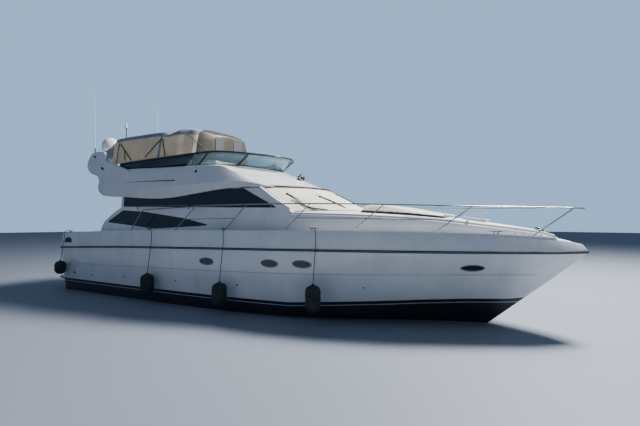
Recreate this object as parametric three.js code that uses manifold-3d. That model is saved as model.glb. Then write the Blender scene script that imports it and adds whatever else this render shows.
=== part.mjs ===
// Motor yacht of about 16 m with a flybridge, built whole with its underwater hull.
// Millimetres. +X runs to the bow, +Y to port and +Z up; the origin is on the centreline at the waterline.
import * as THREE from "three";
import { mergeVertices } from "three/addons/utils/BufferGeometryUtils.js";
import Module from "manifold-3d";

const wasm = await Module();
wasm.setup();

// Driving dimensions
const GAP = 0.3;
const STARBOARD = -1;
const PORT = 1;
const SIDES = [["starboard", STARBOARD], ["port", PORT]];

const TRANSOM_X = -7600;
const SOLE_Z = 1150;
const SOLE_THICKNESS = 100;
const WELL_HALF_WIDTH = 1840;
const WELL_AFT_X = -7050;
const WELL_FORE_X = 1600;
const BULKHEAD_X = -4500;
const CABIN_HALF_WIDTH = 2000;
const CABIN_LEAN = 0.09;
const LEAN_FROM_Z = 2100;
const CABIN_FORE_X = 1750;
const WALL = 90;
const ROOF_Z = 3300;
const FLY_DECK_Z = 3380;
const SHAFT_Y = 950;
const SHAFT_RADIUS = 32;
const SHAFT_SLOPE = THREE.MathUtils.degToRad(10);
const PROPELLER_X = -6750;
const PROPELLER_Z = -860;
const PROPELLER_RADIUS = 330;

// Finishes
const finish = (color, roughness, metalness) => new THREE.MeshStandardMaterial({ color, roughness, metalness });
const gelcoat = finish(0xe9ebec, 0.25, 0);
const darkRubber = finish(0x22252a, 0.7, 0);
const teak = finish(0x9a7650, 0.8, 0);
const steel = finish(0xc9ccce, 0.2, 1);
const bronze = finish(0xa8803f, 0.35, 1);
const paintedIron = finish(0x8a9296, 0.5, 0.5);
const tintedGlass = finish(0x10161c, 0.05, 0);
const blackFrame = finish(0x121314, 0.35, 0);
const creamCanvas = finish(0xe8dfc8, 0.9, 0);
const canopyCanvas = finish(0xa08a68, 0.9, 0);
const vinyl = finish(0xe6e1d6, 0.6, 0);
const woodVeneer = finish(0x6b4428, 0.4, 0);

const yacht = new THREE.Group();
const solids = new Map();

// A closed geometry becomes a solid that can be joined and cut.
function toSolid(geometry) {
  const bare = geometry.clone();
  bare.deleteAttribute("normal");
  bare.deleteAttribute("uv");
  const merged = mergeVertices(bare, 1e-3);
  return new wasm.Manifold(new wasm.Mesh({
    numProp: 3,
    vertProperties: merged.attributes.position.array,
    triVerts: new Uint32Array(merged.index.array),
  }));
}

function addPiece(name, solid, material) {
  solids.set(name, solid);
  const cut = solid.getMesh();
  const geometry = new THREE.BufferGeometry();
  geometry.setAttribute("position", new THREE.BufferAttribute(new Float32Array(cut.vertProperties), 3));
  geometry.setIndex(new THREE.BufferAttribute(new Uint32Array(cut.triVerts), 1));
  const mesh = new THREE.Mesh(geometry, material);
  mesh.name = name;
  yacht.add(mesh);
  return mesh;
}

const join = (parts) => parts.reduce((whole, part) => whole.add(part));

function moved(solid, shift) {
  const { vertProperties, triVerts } = solid.getMesh();
  const places = vertProperties.map((value, k) => value + shift[k % 3]);
  return new wasm.Manifold(new wasm.Mesh({ numProp: 3, vertProperties: places, triVerts }));
}

// Cuts a piece by the one that carries it, and leaves the gap between them on the given sides.
const FROM_ABOVE = [[0, 0, GAP]];
const ALL_ROUND = [[GAP, 0, 0], [-GAP, 0, 0], [0, GAP, 0], [0, -GAP, 0], [0, 0, GAP], [0, 0, -GAP]];

function seatOn(solid, carrierName, shifts = FROM_ABOVE) {
  const carrier = solids.get(carrierName);
  return shifts.reduce((rest, shift) => rest.subtract(moved(carrier, shift)), solid);
}

function block(x0, x1, y0, y1, z0, z1) {
  const box = new THREE.BoxGeometry(x1 - x0, y1 - y0, z1 - z0);
  return toSolid(box.translate((x0 + x1) / 2, (y0 + y1) / 2, (z0 + z1) / 2));
}

function extrude(outline, depth) {
  const shape = new THREE.Shape(outline.map(([u, v]) => new THREE.Vector2(u, v)));
  return new THREE.ExtrudeGeometry(shape, { depth, bevelEnabled: false });
}

// A plate whose outline is given as [x, z] and whose thickness runs from y0 to y1.
function sidePlateGeometry(outline, y0, y1) {
  return extrude(outline, y1 - y0).rotateX(Math.PI / 2).translate(0, y1, 0);
}
const sidePlate = (outline, y0, y1) => toSolid(sidePlateGeometry(outline, y0, y1));

// A plate whose outline is given as [x, y] and whose thickness runs from z0 to z1.
function flatPlate(outline, z0, z1) {
  return toSolid(extrude(outline, z1 - z0).translate(0, 0, z0));
}

// A bar whose section is given as [y, z] and which runs from x0 to x1.
function lengthwiseBar(outline, x0, x1) {
  const turn = new THREE.Matrix4().makeBasis(
    new THREE.Vector3(0, 1, 0), new THREE.Vector3(0, 0, 1), new THREE.Vector3(1, 0, 0));
  return toSolid(extrude(outline, x1 - x0).applyMatrix4(turn).translate(x0, 0, 0));
}

function rod(from, to, radius, sides = 8) {
  const start = new THREE.Vector3(...from);
  const run = new THREE.Vector3(...to).sub(start);
  const bar = new THREE.CylinderGeometry(radius, radius, run.length(), sides);
  const turn = new THREE.Quaternion().setFromUnitVectors(new THREE.Vector3(0, 1, 0), run.clone().normalize());
  bar.applyQuaternion(turn);
  return toSolid(bar.translate(...start.addScaledVector(run, 0.5).toArray()));
}

function tube(points, radius, steps, sides = 8) {
  const circle = new THREE.Shape();
  for (let k = 0; k < sides; k += 1) {
    const angle = (k * 2 * Math.PI) / sides;
    const corner = [radius * Math.cos(angle), radius * Math.sin(angle)];
    if (k === 0) circle.moveTo(...corner);
    else circle.lineTo(...corner);
  }
  const path = new THREE.CatmullRomCurve3(points.map((p) => new THREE.Vector3(...p)));
  return toSolid(new THREE.ExtrudeGeometry(circle, { steps, extrudePath: path, bevelEnabled: false }));
}

// Closed rings of [x, y, z] points with equal counts are skinned; each end that has an area is capped
// along the given pair of coordinates.
function loft(rings, capAxes = [1, 2]) {
  const count = rings[0].length;
  const corners = [];
  const triangle = (a, b, c) => {
    const same = (p, q) => Math.hypot(p[0] - q[0], p[1] - q[1], p[2] - q[2]) < 1e-2;
    if (!same(a, b) && !same(b, c) && !same(c, a)) corners.push(a, b, c);
  };
  for (let i = 0; i < rings.length - 1; i += 1) {
    for (let k = 0; k < count; k += 1) {
      const next = (k + 1) % count;
      triangle(rings[i][k], rings[i][next], rings[i + 1][next]);
      triangle(rings[i][k], rings[i + 1][next], rings[i + 1][k]);
    }
  }
  const cap = (ring, turned) => {
    const flat = ring.map((p) => new THREE.Vector2(p[capAxes[0]], p[capAxes[1]]));
    const area = THREE.ShapeUtils.area(flat);
    if (Math.abs(area) < 1) return;
    const faces = THREE.ShapeUtils.triangulateShape(area > 0 ? flat : flat.slice().reverse(), []);
    const at = (index) => ring[area > 0 ? index : count - 1 - index];
    const reversed = turned === (area > 0);
    for (const [a, b, c] of faces) {
      if (reversed) triangle(at(c), at(b), at(a));
      else triangle(at(a), at(b), at(c));
    }
  };
  cap(rings[0], true);
  cap(rings[rings.length - 1], false);
  const signed = corners.reduce((sum, p, i) => {
    if (i % 3) return sum;
    const q = corners[i + 1];
    const r = corners[i + 2];
    return sum + p[0] * (q[1] * r[2] - q[2] * r[1]) + p[1] * (q[2] * r[0] - q[0] * r[2])
      + p[2] * (q[0] * r[1] - q[1] * r[0]);
  }, 0);
  const ordered = signed < 0 ? corners.slice().reverse() : corners;
  const geometry = new THREE.BufferGeometry();
  geometry.setAttribute("position", new THREE.BufferAttribute(new Float32Array(ordered.flat()), 3));
  return toSolid(geometry);
}

// A smooth curve through values given at rising knots.
function smooth(knots, values, at) {
  let i = 0;
  while (i < knots.length - 2 && at > knots[i + 1]) i += 1;
  const slope = (k) => {
    const before = Math.max(k - 1, 0);
    const after = Math.min(k + 1, knots.length - 1);
    return (values[after] - values[before]) / (knots[after] - knots[before]);
  };
  const span = knots[i + 1] - knots[i];
  const t = Math.min(Math.max((at - knots[i]) / span, 0), 1);
  return (2 * t ** 3 - 3 * t ** 2 + 1) * values[i] + (t ** 3 - 2 * t ** 2 + t) * span * slope(i)
    + (3 * t ** 2 - 2 * t ** 3) * values[i + 1] + (t ** 3 - t ** 2) * span * slope(i + 1);
}

// Hull lines. Each runs from the transom (station 0) to its own place on the raked stem (station 1),
// and gives the half breadth y and the height z at the stations.
const STATION = [0, 0.2, 0.4, 0.55, 0.68, 0.78, 0.86, 0.92, 0.97, 1];
const HULL_LINES = {
  keel: {
    stem: 6000,
    y: [0, 0, 0, 0, 0, 0, 0, 0, 0, 0],
    z: [-600, -740, -820, -840, -800, -700, -550, -380, -160, 0],
  },
  chine: {
    stem: 6790,
    y: [2050, 2100, 2100, 2020, 1780, 1360, 880, 520, 200, 0],
    z: [-150, -120, -50, 30, 140, 280, 420, 540, 630, 670],
  },
  knuckle: {
    stem: 7430,
    y: [2200, 2270, 2300, 2270, 2100, 1700, 1180, 740, 320, 0],
    z: [920, 990, 1050, 1100, 1150, 1190, 1210, 1220, 1220, 1210],
  },
  railLow: {
    stem: 7960,
    y: [2240, 2320, 2350, 2330, 2200, 1860, 1380, 920, 460, 0],
    z: [1425, 1535, 1605, 1645, 1675, 1685, 1685, 1685, 1685, 1685],
  },
  railHigh: {
    stem: 7995,
    y: [2240, 2320, 2350, 2330, 2200, 1860, 1380, 920, 460, 0],
    z: [1495, 1605, 1675, 1715, 1745, 1755, 1755, 1755, 1755, 1755],
  },
  deckEdge: {
    stem: 7900,
    y: [2190, 2270, 2300, 2280, 2140, 1790, 1300, 840, 400, 0],
    z: [1930, 2040, 2090, 2110, 2130, 2120, 2095, 2055, 1985, 1880],
  },
};

function hullPoint(line, station) {
  const { stem, y, z } = HULL_LINES[line];
  return [TRANSOM_X + station * (stem - TRANSOM_X), smooth(STATION, y, station), smooth(STATION, z, station)];
}

const deckStation = (x) => (x - TRANSOM_X) / (HULL_LINES.deckEdge.stem - TRANSOM_X);
const deckZ = (x) => hullPoint("deckEdge", deckStation(x))[2];
const deckHalfWidth = (x) => hullPoint("deckEdge", deckStation(x))[1];

const HULL_STATIONS = [0, 0.06, 0.12, 0.2, 0.28, 0.36, 0.44, 0.52, 0.6, 0.66, 0.71, 0.76, 0.8, 0.84,
  0.875, 0.905, 0.93, 0.95, 0.97, 0.985, 1];
const DECK_X = HULL_STATIONS.map((station) => hullPoint("deckEdge", station)[0]);

function hullRing(station) {
  const names = ["deckEdge", "railHigh", "railLow", "knuckle", "chine"];
  const half = names.map((line) => hullPoint(line, station));
  const keel = hullPoint("keel", station);
  const mirrored = half.map(([x, y, z]) => [x, -y, z]).reverse();
  return [...half, keel, ...mirrored];
}

// Points along the deck from one x to another, at the stations where the deck changes slope.
function deckRun(x0, x1) {
  const inside = DECK_X.filter((x) => x > x0 + 1 && x < x1 - 1);
  return [x0, ...inside, x1];
}

// The height of the deck as it is built, straight from station to station.
function builtDeckZ(x) {
  let i = 0;
  while (i < DECK_X.length - 2 && x > DECK_X[i + 1]) i += 1;
  const t = (x - DECK_X[i]) / (DECK_X[i + 1] - DECK_X[i]);
  return deckZ(DECK_X[i]) * (1 - t) + deckZ(DECK_X[i + 1]) * t;
}

// Hull with the well for cockpit and saloon, the engine room under it, and the transom passage
const ENGINE_ROOM = { x0: -6300, x1: -1900, halfWidth: 1500, z0: -150 };
const PASSAGE = { y0: 860, y1: 1460, stepX: -7330, stepZ: 800 };
const RUDDER_X = -7150;
const STOCK_RADIUS = 30;
const SHAFT_LOG_X = [-4700, -5250];

function shaftPoint(x) {
  return [x, PROPELLER_Z + (x - PROPELLER_X) * Math.tan(SHAFT_SLOPE)];
}

function buildHull() {
  const wellFloor = SOLE_Z - SOLE_THICKNESS - GAP;
  let hull = loft(HULL_STATIONS.map(hullRing));
  const cuts = [
    block(WELL_AFT_X, WELL_FORE_X, -WELL_HALF_WIDTH, WELL_HALF_WIDTH, wellFloor, 3000),
    block(ENGINE_ROOM.x0, ENGINE_ROOM.x1, -ENGINE_ROOM.halfWidth, ENGINE_ROOM.halfWidth, ENGINE_ROOM.z0, 2000),
    block(TRANSOM_X - 100, WELL_AFT_X + 10, PASSAGE.y0, PASSAGE.y1, SOLE_Z, 3000),
    block(TRANSOM_X - 100, PASSAGE.stepX, PASSAGE.y0, PASSAGE.y1, PASSAGE.stepZ, 3000),
  ];
  for (const [, side] of SIDES) {
    const [logX, logZ] = shaftPoint(SHAFT_LOG_X[0]);
    const [tailX, tailZ] = shaftPoint(SHAFT_LOG_X[1]);
    const log = rod([logX, side * SHAFT_Y, logZ], [tailX, side * SHAFT_Y, tailZ], SHAFT_RADIUS + 38, 12);
    hull = hull.add(log);
    cuts.push(rod([RUDDER_X, side * SHAFT_Y, -1200], [RUDDER_X, side * SHAFT_Y, -100], STOCK_RADIUS + 1, 16));
  }
  for (const cut of cuts) hull = hull.subtract(cut);
  addPiece("hull", hull, gelcoat);
}

// Rubbing strake along the hull's widest line, from quarter to quarter round the bow
function buildRubRail() {
  const proud = 45;
  const ringAt = (station, side) => {
    const low = hullPoint("railLow", station);
    const high = hullPoint("railHigh", station);
    const stem = station === 1;
    const out = (point, reach) => (stem
      ? [point[0] + reach, 0, point[2]]
      : [point[0], side * (point[1] + reach), point[2]]);
    return [out(low, GAP), out(low, proud * 0.6), out(high, proud), out(high, GAP)];
  };
  const run = HULL_STATIONS.slice(0, -1);
  const starboard = run.map((station) => ringAt(station, STARBOARD));
  const port = run.slice().reverse().map((station) => ringAt(station, PORT));
  addPiece("rub_rail", loft([...starboard, ringAt(1, PORT), ...port]), darkRubber);
}

// Stern platform, cockpit floor, cabin floor and hatch
const PLATFORM = { x0: -8330, z0: 330, z1: 430, halfWidth: 2000, corner: 300 };
const HATCH = { x0: -6150, x1: -5350, y0: -550, y1: 350, clearance: 6 };

function buildSternPlatform() {
  const { x0, z0, z1, halfWidth, corner } = PLATFORM;
  const x1 = TRANSOM_X - GAP;
  const outline = [
    [x1, -halfWidth], [x1, halfWidth], [x0 + corner, halfWidth], [x0 + 90, halfWidth - 90],
    [x0, halfWidth - corner], [x0, corner - halfWidth], [x0 + 90, 90 - halfWidth], [x0 + corner, -halfWidth],
  ];
  addPiece("swim_platform", flatPlate(outline, z0, z1), gelcoat);
}

function buildSoles() {
  const z0 = SOLE_Z - SOLE_THICKNESS;
  const edge = WELL_HALF_WIDTH - GAP;
  const { x0, x1, y0, y1, clearance } = HATCH;
  const cockpit = block(WELL_AFT_X + GAP, BULKHEAD_X - 40, -edge, edge, z0, SOLE_Z);
  const opening = block(x0 - clearance, x1 + clearance, y0 - clearance, y1 + clearance, z0 - 10, SOLE_Z + 10);
  const ledge = block(x0 - 60, x1 + 60, y0 - 60, y1 + 60, z0, z0 + 40)
    .subtract(block(x0 + 40, x1 - 40, y0 + 40, y1 - 40, z0 - 10, z0 + 60));
  addPiece("cockpit_sole", cockpit.subtract(opening).add(ledge), teak);
  addPiece("engine_hatch_lid", block(x0, x1, y0, y1, z0 + 40 + GAP, SOLE_Z), teak);
  addPiece("saloon_sole", block(BULKHEAD_X - 40 + GAP, WELL_FORE_X - GAP, -edge, edge, z0, SOLE_Z + 20), woodVeneer);
}

function buildTransomDoor() {
  const { y0, y1 } = PASSAGE;
  const inner = WELL_AFT_X - 2;
  addPiece("transom_door", block(inner - 40, inner, y0 + 6, y1 - 0.5, SOLE_Z + 8, 1880), gelcoat);
}

// Engines, shafts with their propellers, brackets, rudders and trim tabs
function buildMachinery() {
  for (const [name, side] of SIDES) {
    const y = side * SHAFT_Y;
    const engineBase = ENGINE_ROOM.z0 + GAP;
    addPiece(`engine_${name}`, block(-4000, -2500, y - 450, y + 450, engineBase, engineBase + 1050), paintedIron);

    const [headX, headZ] = shaftPoint(SHAFT_LOG_X[1] - 0.5);
    const [tailX, tailZ] = shaftPoint(PROPELLER_X);
    const along = new THREE.Vector3(Math.cos(SHAFT_SLOPE), 0, Math.sin(SHAFT_SLOPE));
    const hubAt = (distance) => [tailX + along.x * distance, y, tailZ + along.z * distance];
    let screw = rod([headX, y, headZ], [tailX, y, tailZ], SHAFT_RADIUS, 12).add(rod(hubAt(-110), hubAt(90), 62, 16));
    for (let k = 0; k < 4; k += 1) {
      const blade = new THREE.CylinderGeometry(PROPELLER_RADIUS * 0.4, PROPELLER_RADIUS * 0.4, 16, 14);
      blade.scale(1, 1, 1.15).rotateZ(Math.PI / 2).translate(0, 0, PROPELLER_RADIUS * 0.54);
      blade.rotateZ(side * THREE.MathUtils.degToRad(28));
      blade.rotateX((k * Math.PI) / 2).rotateY(-SHAFT_SLOPE).translate(tailX, y, tailZ);
      screw = screw.add(toSolid(blade));
    }
    addPiece(`propeller_${name}`, screw, bronze);

    const [barrelX, barrelZ] = shaftPoint(-6480);
    const barrelAt = (distance) => [barrelX + along.x * distance, y, barrelZ + along.z * distance];
    const barrel = rod(barrelAt(-90), barrelAt(90), SHAFT_RADIUS + 22, 16);
    const bore = rod(barrelAt(-200), barrelAt(200), SHAFT_RADIUS + 1.5, 16);
    const footZ = bottomZ(barrelX, SHAFT_Y);
    const leg = sidePlate([[barrelX - 60, barrelZ], [barrelX + 60, barrelZ], [barrelX + 130, footZ + 60],
      [barrelX - 10, footZ + 60]], y - 14, y + 14);
    const bracket = barrel.add(leg).subtract(bore).subtract(hullBottomBlock());
    addPiece(`shaft_bracket_${name}`, bracket, bronze);

    const blade = [[RUDDER_X - 330, -1120], [RUDDER_X + 140, -1120], [RUDDER_X + 190, -640], [RUDDER_X - 260, -640]];
    const stock = rod([RUDDER_X, y, -800], [RUDDER_X, y, -110], STOCK_RADIUS, 16);
    addPiece(`rudder_${name}`, sidePlate(blade, y - 26, y + 26).add(stock), bronze);

    const tabY0 = side > 0 ? 1150 : -1850;
    addPiece(`trim_tab_${name}`, block(TRANSOM_X - 330, TRANSOM_X - GAP, tabY0, tabY0 + 700, -330, -315), steel);
  }
}

// Height of the hull's bottom at a place, from the keel and chine lines
function bottomZ(x, y) {
  const stationOf = (line) => (x - TRANSOM_X) / (HULL_LINES[line].stem - TRANSOM_X);
  const keel = hullPoint("keel", stationOf("keel"));
  const chine = hullPoint("chine", stationOf("chine"));
  return keel[2] + ((chine[2] - keel[2]) * y) / chine[1];
}

// The hull's own bottom, let down by the gap, cuts what stands against it.
let bottomBlock = null;
function hullBottomBlock() {
  if (bottomBlock) return bottomBlock;
  const rings = HULL_STATIONS.slice(0, 12).map((station) => {
    const chine = hullPoint("chine", station);
    const keel = hullPoint("keel", station);
    const down = ([x, y, z]) => [x, y, z - GAP];
    const up = ([x, y]) => [x, y, 600];
    const half = [up(chine), down(chine)];
    const mirrored = half.map(([x, y, z]) => [x, -y, z]).reverse();
    return [...half, down(keel), ...mirrored];
  });
  bottomBlock = loft(rings);
  return bottomBlock;
}

// Trunk over the forward cabins: half breadth and height of its top edge at places along the deck
const TRUNK = {
  x: [1750, 2600, 3800, 5100, 6100, 7000, 7380],
  halfWidth: [1985, 1880, 1590, 1150, 760, 330, 60],
  edgeZ: [2590, 2565, 2515, 2425, 2300, 2170, 2075],
  crown: [95, 85, 65, 50, 35, 20, 8],
};
const FORE_HATCH = { x0: 5480, x1: 6020, halfWidth: 270, lidThickness: 36, slope: 7.2 };

const trunkHalfWidth = (x) => smooth(TRUNK.x, TRUNK.halfWidth, x);
const trunkEdgeZ = (x) => smooth(TRUNK.x, TRUNK.edgeZ, x);
const trunkCrown = (x) => smooth(TRUNK.x, TRUNK.crown, x);
const trunkTopZ = (x, y) => trunkEdgeZ(x) + trunkCrown(x) * (1 - (y / trunkHalfWidth(x)) ** 2);

function foreHatchFrame(lowOffset, highOffset, x0, x1, halfWidth) {
  const middle = (FORE_HATCH.x0 + FORE_HATCH.x1) / 2;
  const base = trunkTopZ(middle, 0);
  const box = new THREE.BoxGeometry(x1 - x0, 2 * halfWidth, highOffset - lowOffset);
  box.translate((x0 + x1) / 2 - middle, 0, (lowOffset + highOffset) / 2);
  box.rotateY(THREE.MathUtils.degToRad(FORE_HATCH.slope));
  return toSolid(box.translate(middle, 0, base));
}

function buildTrunk() {
  const rings = deckRun(TRUNK.x[0], 7380).map((x) => {
    const foot = builtDeckZ(x) + GAP;
    const half = trunkHalfWidth(x);
    const edge = trunkEdgeZ(x);
    const crown = trunkCrown(x);
    const shoulder = Math.min(60, half * 0.4);
    const points = [
      [x, half + 12, foot], [x, half - shoulder * 0.25, edge - 55], [x, half - shoulder, edge],
      [x, (half - shoulder) * 0.5, edge + crown * 0.75],
    ];
    const mirrored = points.map(([px, y, z]) => [px, -y, z]).reverse();
    return [...points, [x, 0, edge + crown], ...mirrored];
  });
  const { x0, x1, halfWidth, lidThickness } = FORE_HATCH;
  const coaming = foreHatchFrame(-120, 26, x0, x1, halfWidth);
  const well = foreHatchFrame(-300, 200, x0 + 45, x1 - 45, halfWidth - 45);
  addPiece("trunk_cabin", loft(rings).add(coaming).subtract(well), gelcoat);
  addPiece("foredeck_hatch_lid", foreHatchFrame(26 + GAP, 26 + GAP + lidThickness, x0, x1, halfWidth), tintedGlass);
}

// The sunpad rises towards its head end; its sides slope.
const SUNPAD = {
  x: [3250, 3330, 3720, 4260, 4520, 4880, 5120, 5200],
  halfWidth: [1100, 1120, 1060, 980, 940, 890, 840, 800],
  rise: [90, 155, 172, 127, 92, 68, 62, 35],
  slope: 150,
};

function buildSunpad() {
  const rings = [];
  SUNPAD.x.forEach((x, k) => {
    const half = SUNPAD.halfWidth[k];
    const inner = half - SUNPAD.slope;
    const foot = trunkTopZ(x, half) - 30;
    const edge = trunkTopZ(x, half) + 35;
    const top = trunkTopZ(x, 0) + SUNPAD.rise[k];
    rings.push([[x, half, foot], [x, half, edge], [x, inner, Math.max(top - 12, edge + 5)], [x, 0, top],
      [x, -inner, Math.max(top - 12, edge + 5)], [x, -half, edge], [x, -half, foot]]);
  });
  addPiece("foredeck_sunpad", seatOn(loft(rings), "trunk_cabin"), creamCanvas);
}

// Saloon walls with their windows, window panes, aft bulkhead and sliding door
const UPPER_WINDOW = [[-4645, 2830], [1340, 2715], [243, 3238], [-4645, 3250]];
const LOWER_WINDOW = [[-5400, 2335], [-3110, 2150], [-1150, 2245], [-930, 2265], [-1840, 2440], [-3560, 2640],
  [-4650, 2703]];

// A plate in the plane of the cabin's side, which leans inboard as it rises.
function wallSolid(outline, side, outset, thickness) {
  const outer = side * (CABIN_HALF_WIDTH - outset);
  const inner = outer - side * thickness;
  const lean = side * CABIN_LEAN;
  const shear = new THREE.Matrix4().set(1, 0, 0, 0, 0, 1, -lean, lean * LEAN_FROM_Z, 0, 0, 1, 0, 0, 0, 0, 1);
  const plate = sidePlateGeometry(outline, Math.min(outer, inner), Math.max(outer, inner));
  return toSolid(plate.applyMatrix4(shear));
}

function buildSaloonSides() {
  const foot = deckRun(-5750, CABIN_FORE_X - GAP).map((x) => [x, builtDeckZ(x) + GAP]);
  const top = [[CABIN_FORE_X - GAP, 2650], [CABIN_FORE_X - GAP, 2700], [700, 3240], [150, 3255], [90, ROOF_Z - GAP],
    [-4775, ROOF_Z - GAP], [-4775, 2790], [-5580, 2350]];
  for (const [name, side] of SIDES) {
    const openings = [UPPER_WINDOW, LOWER_WINDOW].map((outline) => wallSolid(outline, side, -100, WALL + 200));
    const wall = openings.reduce((solid, cut) => solid.subtract(cut),
      wallSolid([...foot, ...top], side, 0, WALL));
    addPiece(`saloon_side_${name}`, wall, gelcoat);
    const panes = [["saloon_window", UPPER_WINDOW], ["aft_cabin_window", LOWER_WINDOW]];
    for (const [pane, outline] of panes) {
      addPiece(`${pane}_${name}`, wallSolid(insetOutline(outline, GAP), side, 12, 20), tintedGlass);
    }
  }
}

// Moves each edge of a convex outline inwards by a distance.
function insetOutline(outline, distance) {
  const points = outline.map(([u, v]) => new THREE.Vector2(u, v));
  const turn = THREE.ShapeUtils.area(points) > 0 ? 1 : -1;
  return points.map((point, k) => {
    const before = points[(k + points.length - 1) % points.length];
    const after = points[(k + 1) % points.length];
    const a = point.clone().sub(before).normalize();
    const b = after.clone().sub(point).normalize();
    const na = new THREE.Vector2(-a.y * turn, a.x * turn);
    const nb = new THREE.Vector2(-b.y * turn, b.x * turn);
    const middle = na.clone().add(nb).normalize();
    const reach = distance / middle.dot(na);
    return [point.x + middle.x * reach, point.y + middle.y * reach];
  });
}

const DOORWAY = { y0: -950, y1: -50, z1: 3060 };

function buildAftBulkhead() {
  const halfWidth = CABIN_HALF_WIDTH - CABIN_LEAN * 1200 - WALL - 5;
  const z0 = SOLE_Z + 20 + GAP;
  const well = WELL_HALF_WIDTH - GAP;
  const wall = lengthwiseBar([[-well, z0], [well, z0], [well, 2060], [halfWidth, 2100], [halfWidth, ROOF_Z - GAP],
    [-halfWidth, ROOF_Z - GAP], [-halfWidth, 2100], [-well, 2060]], BULKHEAD_X, BULKHEAD_X + 70);
  const { y0, y1, z1 } = DOORWAY;
  const doorway = block(BULKHEAD_X - 100, BULKHEAD_X + 200, y0, y1, z0 + 30, z1);
  const light = block(BULKHEAD_X - 100, BULKHEAD_X + 200, 80, 1450, 2150, 3060);
  addPiece("saloon_aft_bulkhead", wall.subtract(doorway).subtract(light), gelcoat);
  const pane = block(BULKHEAD_X + 25, BULKHEAD_X + 45, 80 + GAP, 1450 - GAP, 2150 + GAP, 3060 - GAP);
  addPiece("saloon_aft_window", pane, tintedGlass);
  const door = block(BULKHEAD_X + 70.5, BULKHEAD_X + 105, y0 - 30, y1 + 30, z0 + 0.2, z1 + 40);
  addPiece("saloon_door", door, tintedGlass);
}

// Saloon windscreen and the canvas cover drawn over it
const SCREEN = {
  y: [0, 600, 1150, 1550, 1760],
  lowX: [2850, 2760, 2430, 2020, 1790],
  highX: [1470, 1400, 1170, 930, 760],
  topZ: 3255,
  foot: -25,
};

function screenSheet(under, over, margin = 0) {
  const rings = [];
  for (let k = -8; k <= 8; k += 1) {
    const y = ((SCREEN.y[4] - 400 * margin) * k) / 8;
    const lowX = smooth(SCREEN.y, SCREEN.lowX, Math.abs(y));
    const highX = smooth(SCREEN.y, SCREEN.highX, Math.abs(y));
    const lowZ = trunkTopZ(lowX, y) + SCREEN.foot;
    const run = new THREE.Vector2(lowX - highX, lowZ - SCREEN.topZ).normalize();
    const level = (lift) => [margin, 0.5, 1 - margin].map((t) => [
      lowX + (highX - lowX) * t - run.y * lift, y, lowZ + (SCREEN.topZ - lowZ) * t + run.x * lift]);
    rings.push([...level(under), ...level(over).reverse()]);
  }
  return loft(rings, [0, 2]);
}

function buildWindscreen() {
  const glass = seatOn(screenSheet(0, 12), "trunk_cabin", ALL_ROUND);
  addPiece("saloon_windscreen", seatOn(glass, "flybridge_moulding", ALL_ROUND), tintedGlass);
  const cover = screenSheet(5, 26, 0.01).subtract(screenSheet(-60, 12 + GAP));
  const seated = seatOn(seatOn(cover, "trunk_cabin", ALL_ROUND), "flybridge_moulding", ALL_ROUND);
  addPiece("windscreen_cover", seated, creamCanvas);
}

// Flybridge moulding: skirt, side, shoulder, bevel, crown and centreline at places along its length
const FLY_TABLE = {
  x: [-5950, -5600, -4400, -3200, -2400, -1400, -600, -200, 200, 450, 700, 900, 1060, 1270, 1400, 1460, 1500],
  skirtY: [1950, 2000, 2030, 2030, 2030, 2030, 2030, 2020, 1990, 1945, 1860, 1700, 1400, 1000, 680, 450, 120],
  skirtZ: [3355, 3200, 3120, 3045, 3050, 3140, 3220, 3250, 3270, 3265, 3260, 3256, 3258, 3262, 3268, 3274, 3280],
  sideY: [1980, 2050, 2080, 2100, 2100, 2100, 2080, 2055, 2010, 1960, 1870, 1708, 1408, 1006, 685, 455, 124],
  sideZ: [3520, 3450, 3400, 3380, 3380, 3400, 3420, 3425, 3420, 3390, 3335, 3285, 3283, 3283, 3286, 3290, 3294],
  shoulderY: [1900, 1920, 1900, 1880, 1860, 1840, 1825, 1840, 1850, 1845, 1820, 1675, 1375, 975, 655, 430, 110],
  shoulderZ: [3780, 3950, 3990, 3960, 3945, 3935, 3890, 3730, 3580, 3470, 3365, 3305, 3300, 3298, 3300, 3300, 3300],
  bevelY: [1800, 1820, 1800, 1780, 1760, 1640, 1450, 1400, 1200, 1180, 1150, 1080, 900, 640, 430, 280, 70],
  bevelZ: [3815, 3975, 4015, 3985, 3975, 3965, 3930, 3790, 3650, 3560, 3455, 3375, 3345, 3322, 3312, 3306, 3302],
  crownY: [1000, 1000, 1000, 1000, 1000, 1000, 1080, 560, 600, 600, 560, 520, 440, 320, 210, 140, 35],
  crownZ: [3815, 3975, 4015, 3985, 3980, 3980, 3975, 3925, 3735, 3655, 3565, 3480, 3425, 3365, 3335, 3320, 3306],
  centreZ: [3815, 3975, 4015, 3985, 3980, 3980, 3978, 3945, 3790, 3705, 3635, 3545, 3475, 3400, 3350, 3330, 3312],
};
const FLY_COLUMNS = [["skirtY", "skirtZ"], ["sideY", "sideZ"], ["shoulderY", "shoulderZ"], ["bevelY", "bevelZ"],
  ["crownY", "crownZ"]];
const FLY_X = [-5950, -5800, -5600, -5000, -4400, -3800, -3200, -2800, -2400, -1900, -1400, -1000, -600, -400, -200,
  0, 200, 450, 700, 900, 1060, 1270, 1400, 1460, 1500];
const STAIR_WELL = { x0: -5550, x1: -4720, y0: 880, y1: 1600 };

// Half outlines of the flybridge's well and of the roof under it, from aft to the centreline forward
const TUB = [[-5800, 1690], [-2900, 1660], [-1750, 1500], [-1200, 1270], [-800, 960], [-580, 640], [-360, 330],
  [-260, 0]];
const ROOF_EDGE = [[-5780, 1930], [150, 1905], [620, 1750], [820, 1560], [980, 1260], [1170, 860], [1330, 440],
  [1380, 0]];

function mirrorOutline(half) {
  return [...half, ...half.slice(0, -1).map(([x, y]) => [x, -y]).reverse()];
}

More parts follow.
